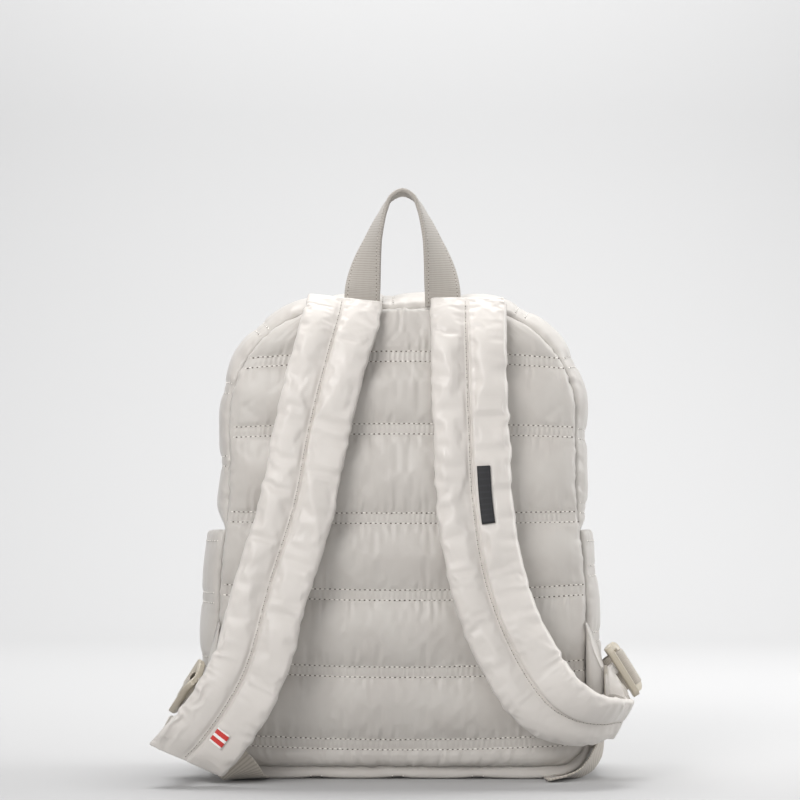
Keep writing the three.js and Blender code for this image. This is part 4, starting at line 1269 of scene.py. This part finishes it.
def makeWebbing(side):
    _, tip, reach = wingReach(side)
    across = buckleAxes(side)[1]
    tipMiddle = (wingTips[side]["low"] + wingTips[side]["high"]) / 2
    stubs = [tip + reach * distance for distance in webbing["stubs"]]
    rows = [(sides[side] * x, y, tipMiddle, 0, 0, -sides[side]) for x, y in stubs] + leadRows[side]
    rows = rows + [(*onBuckle(side, spot), *across) for spot in webbingLoops[side]] + tailRows[side]
    table = bandTable([row[:3] for row in rows], [row[3:] for row in rows],
                      {name: [webbing[name]] * len(rows) for name in ("width", "thick")}, False,
                      webbing["samples"])
    piece = bandPiece("webbing_" + side, table, fineWebbingPaintedPaler, webbing["steps"])
    place(piece, "webbing_" + side)


# tabs: gathered into the end of the strap, hooked round the first bar of the buckle
tab = {"startWidth": 20, "endWidth": 7.5, "startThick": 3, "thick": 1.6, "inset": 2.2, "lift": 3.3, "stub": 3,
       "steps": 160, "pleats": ((1.8, 4.6, 0.3, 40, 163), (0.6, 7, 0, 14, 167))}
tabLoop = [(-17, -7), (-13.2, -4.6), (-10, -3.6), (-8.1, -1.6), (-7.9, 0.6)]
# where a tab shows above the strap, by place, across direction and width, and where it meets the bar
tabRuns = {
    "right": {"shift": 5, "slide": -5, "shows": [((141.5, -67.5, 53), (0.7, -0.35, 0.35), 17),
                                                 ((138.4, -60.5, 63), (0.85, -0.05, -0.4), 11)]},
    "left": {"shift": -12, "slide": -6, "shows": [((-146, -79, 40), (0.9, -0.1, -0.4), 13)]},
}


def tabPleats(a, row):
    loose = np.clip(1.3 - row["share"] * 1.9, 0, 1) * np.clip(row["share"] * 12, 0, 1)
    return loose * sum(height * crumple(a * count + start, row["length"] / long, seed)
                       for height, count, start, long, seed in tab["pleats"])


def makeTab(side):
    hook = np.array(buckleAxes(side)[1])
    cut = {name: values[-1] for name, values in strapTables["strap_" + side].items()}
    cutEdge = unit(cut["across"] * cut["width"] / 2 - cut["way"] * cut["skew"])
    pastCut = np.cross(cutEdge, cut["out"])
    tabAcross = cutEdge * np.sign(np.dot(cutEdge, hook))
    run = tabRuns[side]
    foot = cut["point"] + cutEdge * run["shift"] - pastCut * tab["inset"] - cut["out"] * tab["lift"]
    stops = [(spot, tabAcross, tab["startWidth"], tab["startThick"])
             for spot in (foot, foot - cut["out"] * tab["stub"])]
    stops += [(np.array(spot), np.array(way), width, tab["thick"]) for spot, way, width in run["shows"]]
    stops += [(np.array(onBuckle(side, spot)) + hook * run["slide"], hook, tab["endWidth"], tab["thick"])
              for spot in tabLoop]
    spots, guides, widths, thicks = zip(*stops)
    table = bandTable(spots, guides, {"width": widths, "thick": thicks}, False)
    piece = bandPiece("tab_" + side, table, nylon, tab["steps"], tabPleats)
    place(piece, "tab_" + side)


for side in sides:
    makeWing(side)
    makeWebbing(side)
    makeTab(side)
print("wings, webbing and tabs made")

# all the stitching, sewn at the end in a few pieces
bm = bmesh.new()
bmesh.ops.create_uvsphere(bm, u_segments=5, v_segments=3, radius=0.5)
bmesh.ops.rotate(bm, matrix=Matrix.Rotation(math.pi / 2, 3, "Y"), verts=bm.verts[:])
threadMesh = keepMesh("thread_stitch", bm)
# a small dark dot painted as the shade in each needle hole
bm = bmesh.new()
bmesh.ops.create_icosphere(bm, subdivisions=1, radius=0.5)
holeShadeMesh = keepMesh("needle_hole", bm)
for group, rows in threads.items():
    quiet = group in stitch["quietRows"]
    sizes = stitch["quiet" if quiet else "bold"]
    bars = [stitchFrame(spot, way, normal, sizes["bar"], (0, stitch["barLift"]))
            for spot, way, normal, _ in rows]
    holeShades = [stitchFrame(spot, way, normal, sizes["hole"], (pitch / 2, stitch["holeShadeLift"]))
             for spot, way, normal, pitch in rows]
    sewn = scatter("stitching_" + group, threadMesh, bars, webbingThread if quiet else thread)
    addTrim(sewn)
    addTrim(scatter("painted_hole_shade_" + group, holeShadeMesh, holeShades, needleShade))
    print("stitching", group, len(rows))

# pale seamless paper floor that curves up behind: matt, with the faintest fibre
studio = {"floor": "bababa", "near": -8.0, "far": 1.6, "width": 8.0, "bend": 0.9, "height": 3.0,
          "fibre": 2.5, "fibreDepth": 0.2, "world": "f4f4f6", "strength": 0.5}
bm = bmesh.new()
nearEnds = [bm.verts.new((x, studio["near"], 0)) for x in (-studio["width"], studio["width"])]
grown = bmesh.ops.extrude_edge_only(bm, edges=[bm.edges.new(nearEnds)])["geom"]
farEnds, farEdge = picked(grown, bmesh.types.BMVert), picked(grown, bmesh.types.BMEdge)
bmesh.ops.translate(bm, vec=(0, studio["far"] - studio["near"], 0), verts=farEnds)
bmesh.ops.spin(bm, geom=farEdge + farEnds, cent=(0, studio["far"], studio["bend"]), axis=(1, 0, 0),
               angle=math.pi / 2, steps=24)
topEdge = max(bm.edges, key=lambda edge: min(vert.co.z for vert in edge.verts))
grown = bmesh.ops.extrude_edge_only(bm, edges=[topEdge])["geom"]
bmesh.ops.translate(bm, vec=(0, 0, studio["height"]), verts=picked(grown, bmesh.types.BMVert))
bmesh.ops.recalc_face_normals(bm, faces=bm.faces[:])
paper, tree = newMaterial("paper_backdrop")
coords = addNode(tree, "ShaderNodeTexCoord", {})
fibre = addNode(tree, "ShaderNodeTexNoise", {"Scale": 1 / (studio["fibre"] * mm)},
                {"Vector": coords.outputs["Object"]})
bump = addNode(tree, "ShaderNodeBump", {"Strength": 0.05, "Distance": studio["fibreDepth"] * mm},
               {"Height": fibre.outputs["Fac"]})
shader = addNode(tree, "ShaderNodeBsdfPrincipled",
                 {"Base Color": toLinear(studio["floor"]), "Roughness": 0.9, "Specular IOR Level": 0.1},
                 {"Normal": bump.outputs["Normal"]})
addNode(tree, "ShaderNodeOutputMaterial", {}, {"Surface": shader.outputs["BSDF"]})
finishMesh("floor", bm, paper)

# soft studio light
world = bpy.data.worlds.new("studio")
world.use_nodes = True
bpy.context.scene.world = world
world.node_tree.nodes["Background"].inputs["Color"].default_value = toLinear(studio["world"])
world.node_tree.nodes["Background"].inputs["Strength"].default_value = studio["strength"]
lights = {
    "key": {"at": (-0.55, -1.05, 0.88), "aim": (0, -0.05, 0.42), "size": 0.65, "power": 1.68, "spread": 60,
            "colour": "fffdfc"},
    "front": {"at": (0.3, -2.4, 0.4), "aim": (0, -0.05, 0.16), "size": 1.2, "power": 7, "spread": 180,
              "colour": "ffffff"},
    "rim": {"at": (1.45, 0.25, 0.75), "aim": (0, -0.05, 0.16), "size": 0.9, "power": 13, "spread": 180,
            "colour": "ffffff"},
    "backdrop": {"at": (0, 0.7, 2.6), "aim": (0, 2.5, 0.5), "size": 1.6, "power": 98, "spread": 180,
                 "colour": "ffffff"},
}
for name, shape in lights.items():
    lamp = bpy.data.lights.new(name, "AREA")
    lamp.size = shape["size"]
    lamp.energy = shape["power"]
    lamp.spread = math.radians(shape["spread"])
    lamp.color = toLinear(shape["colour"])[:3]
    light = bpy.data.objects.new(name, lamp)
    bpy.context.collection.objects.link(light)
    light.location = shape["at"]
    light.rotation_euler = (Vector(shape["aim"]) - Vector(shape["at"])).to_track_quat("-Z", "Y").to_euler()
bpy.context.scene.view_settings.view_transform = "Standard"
print("studio ready")
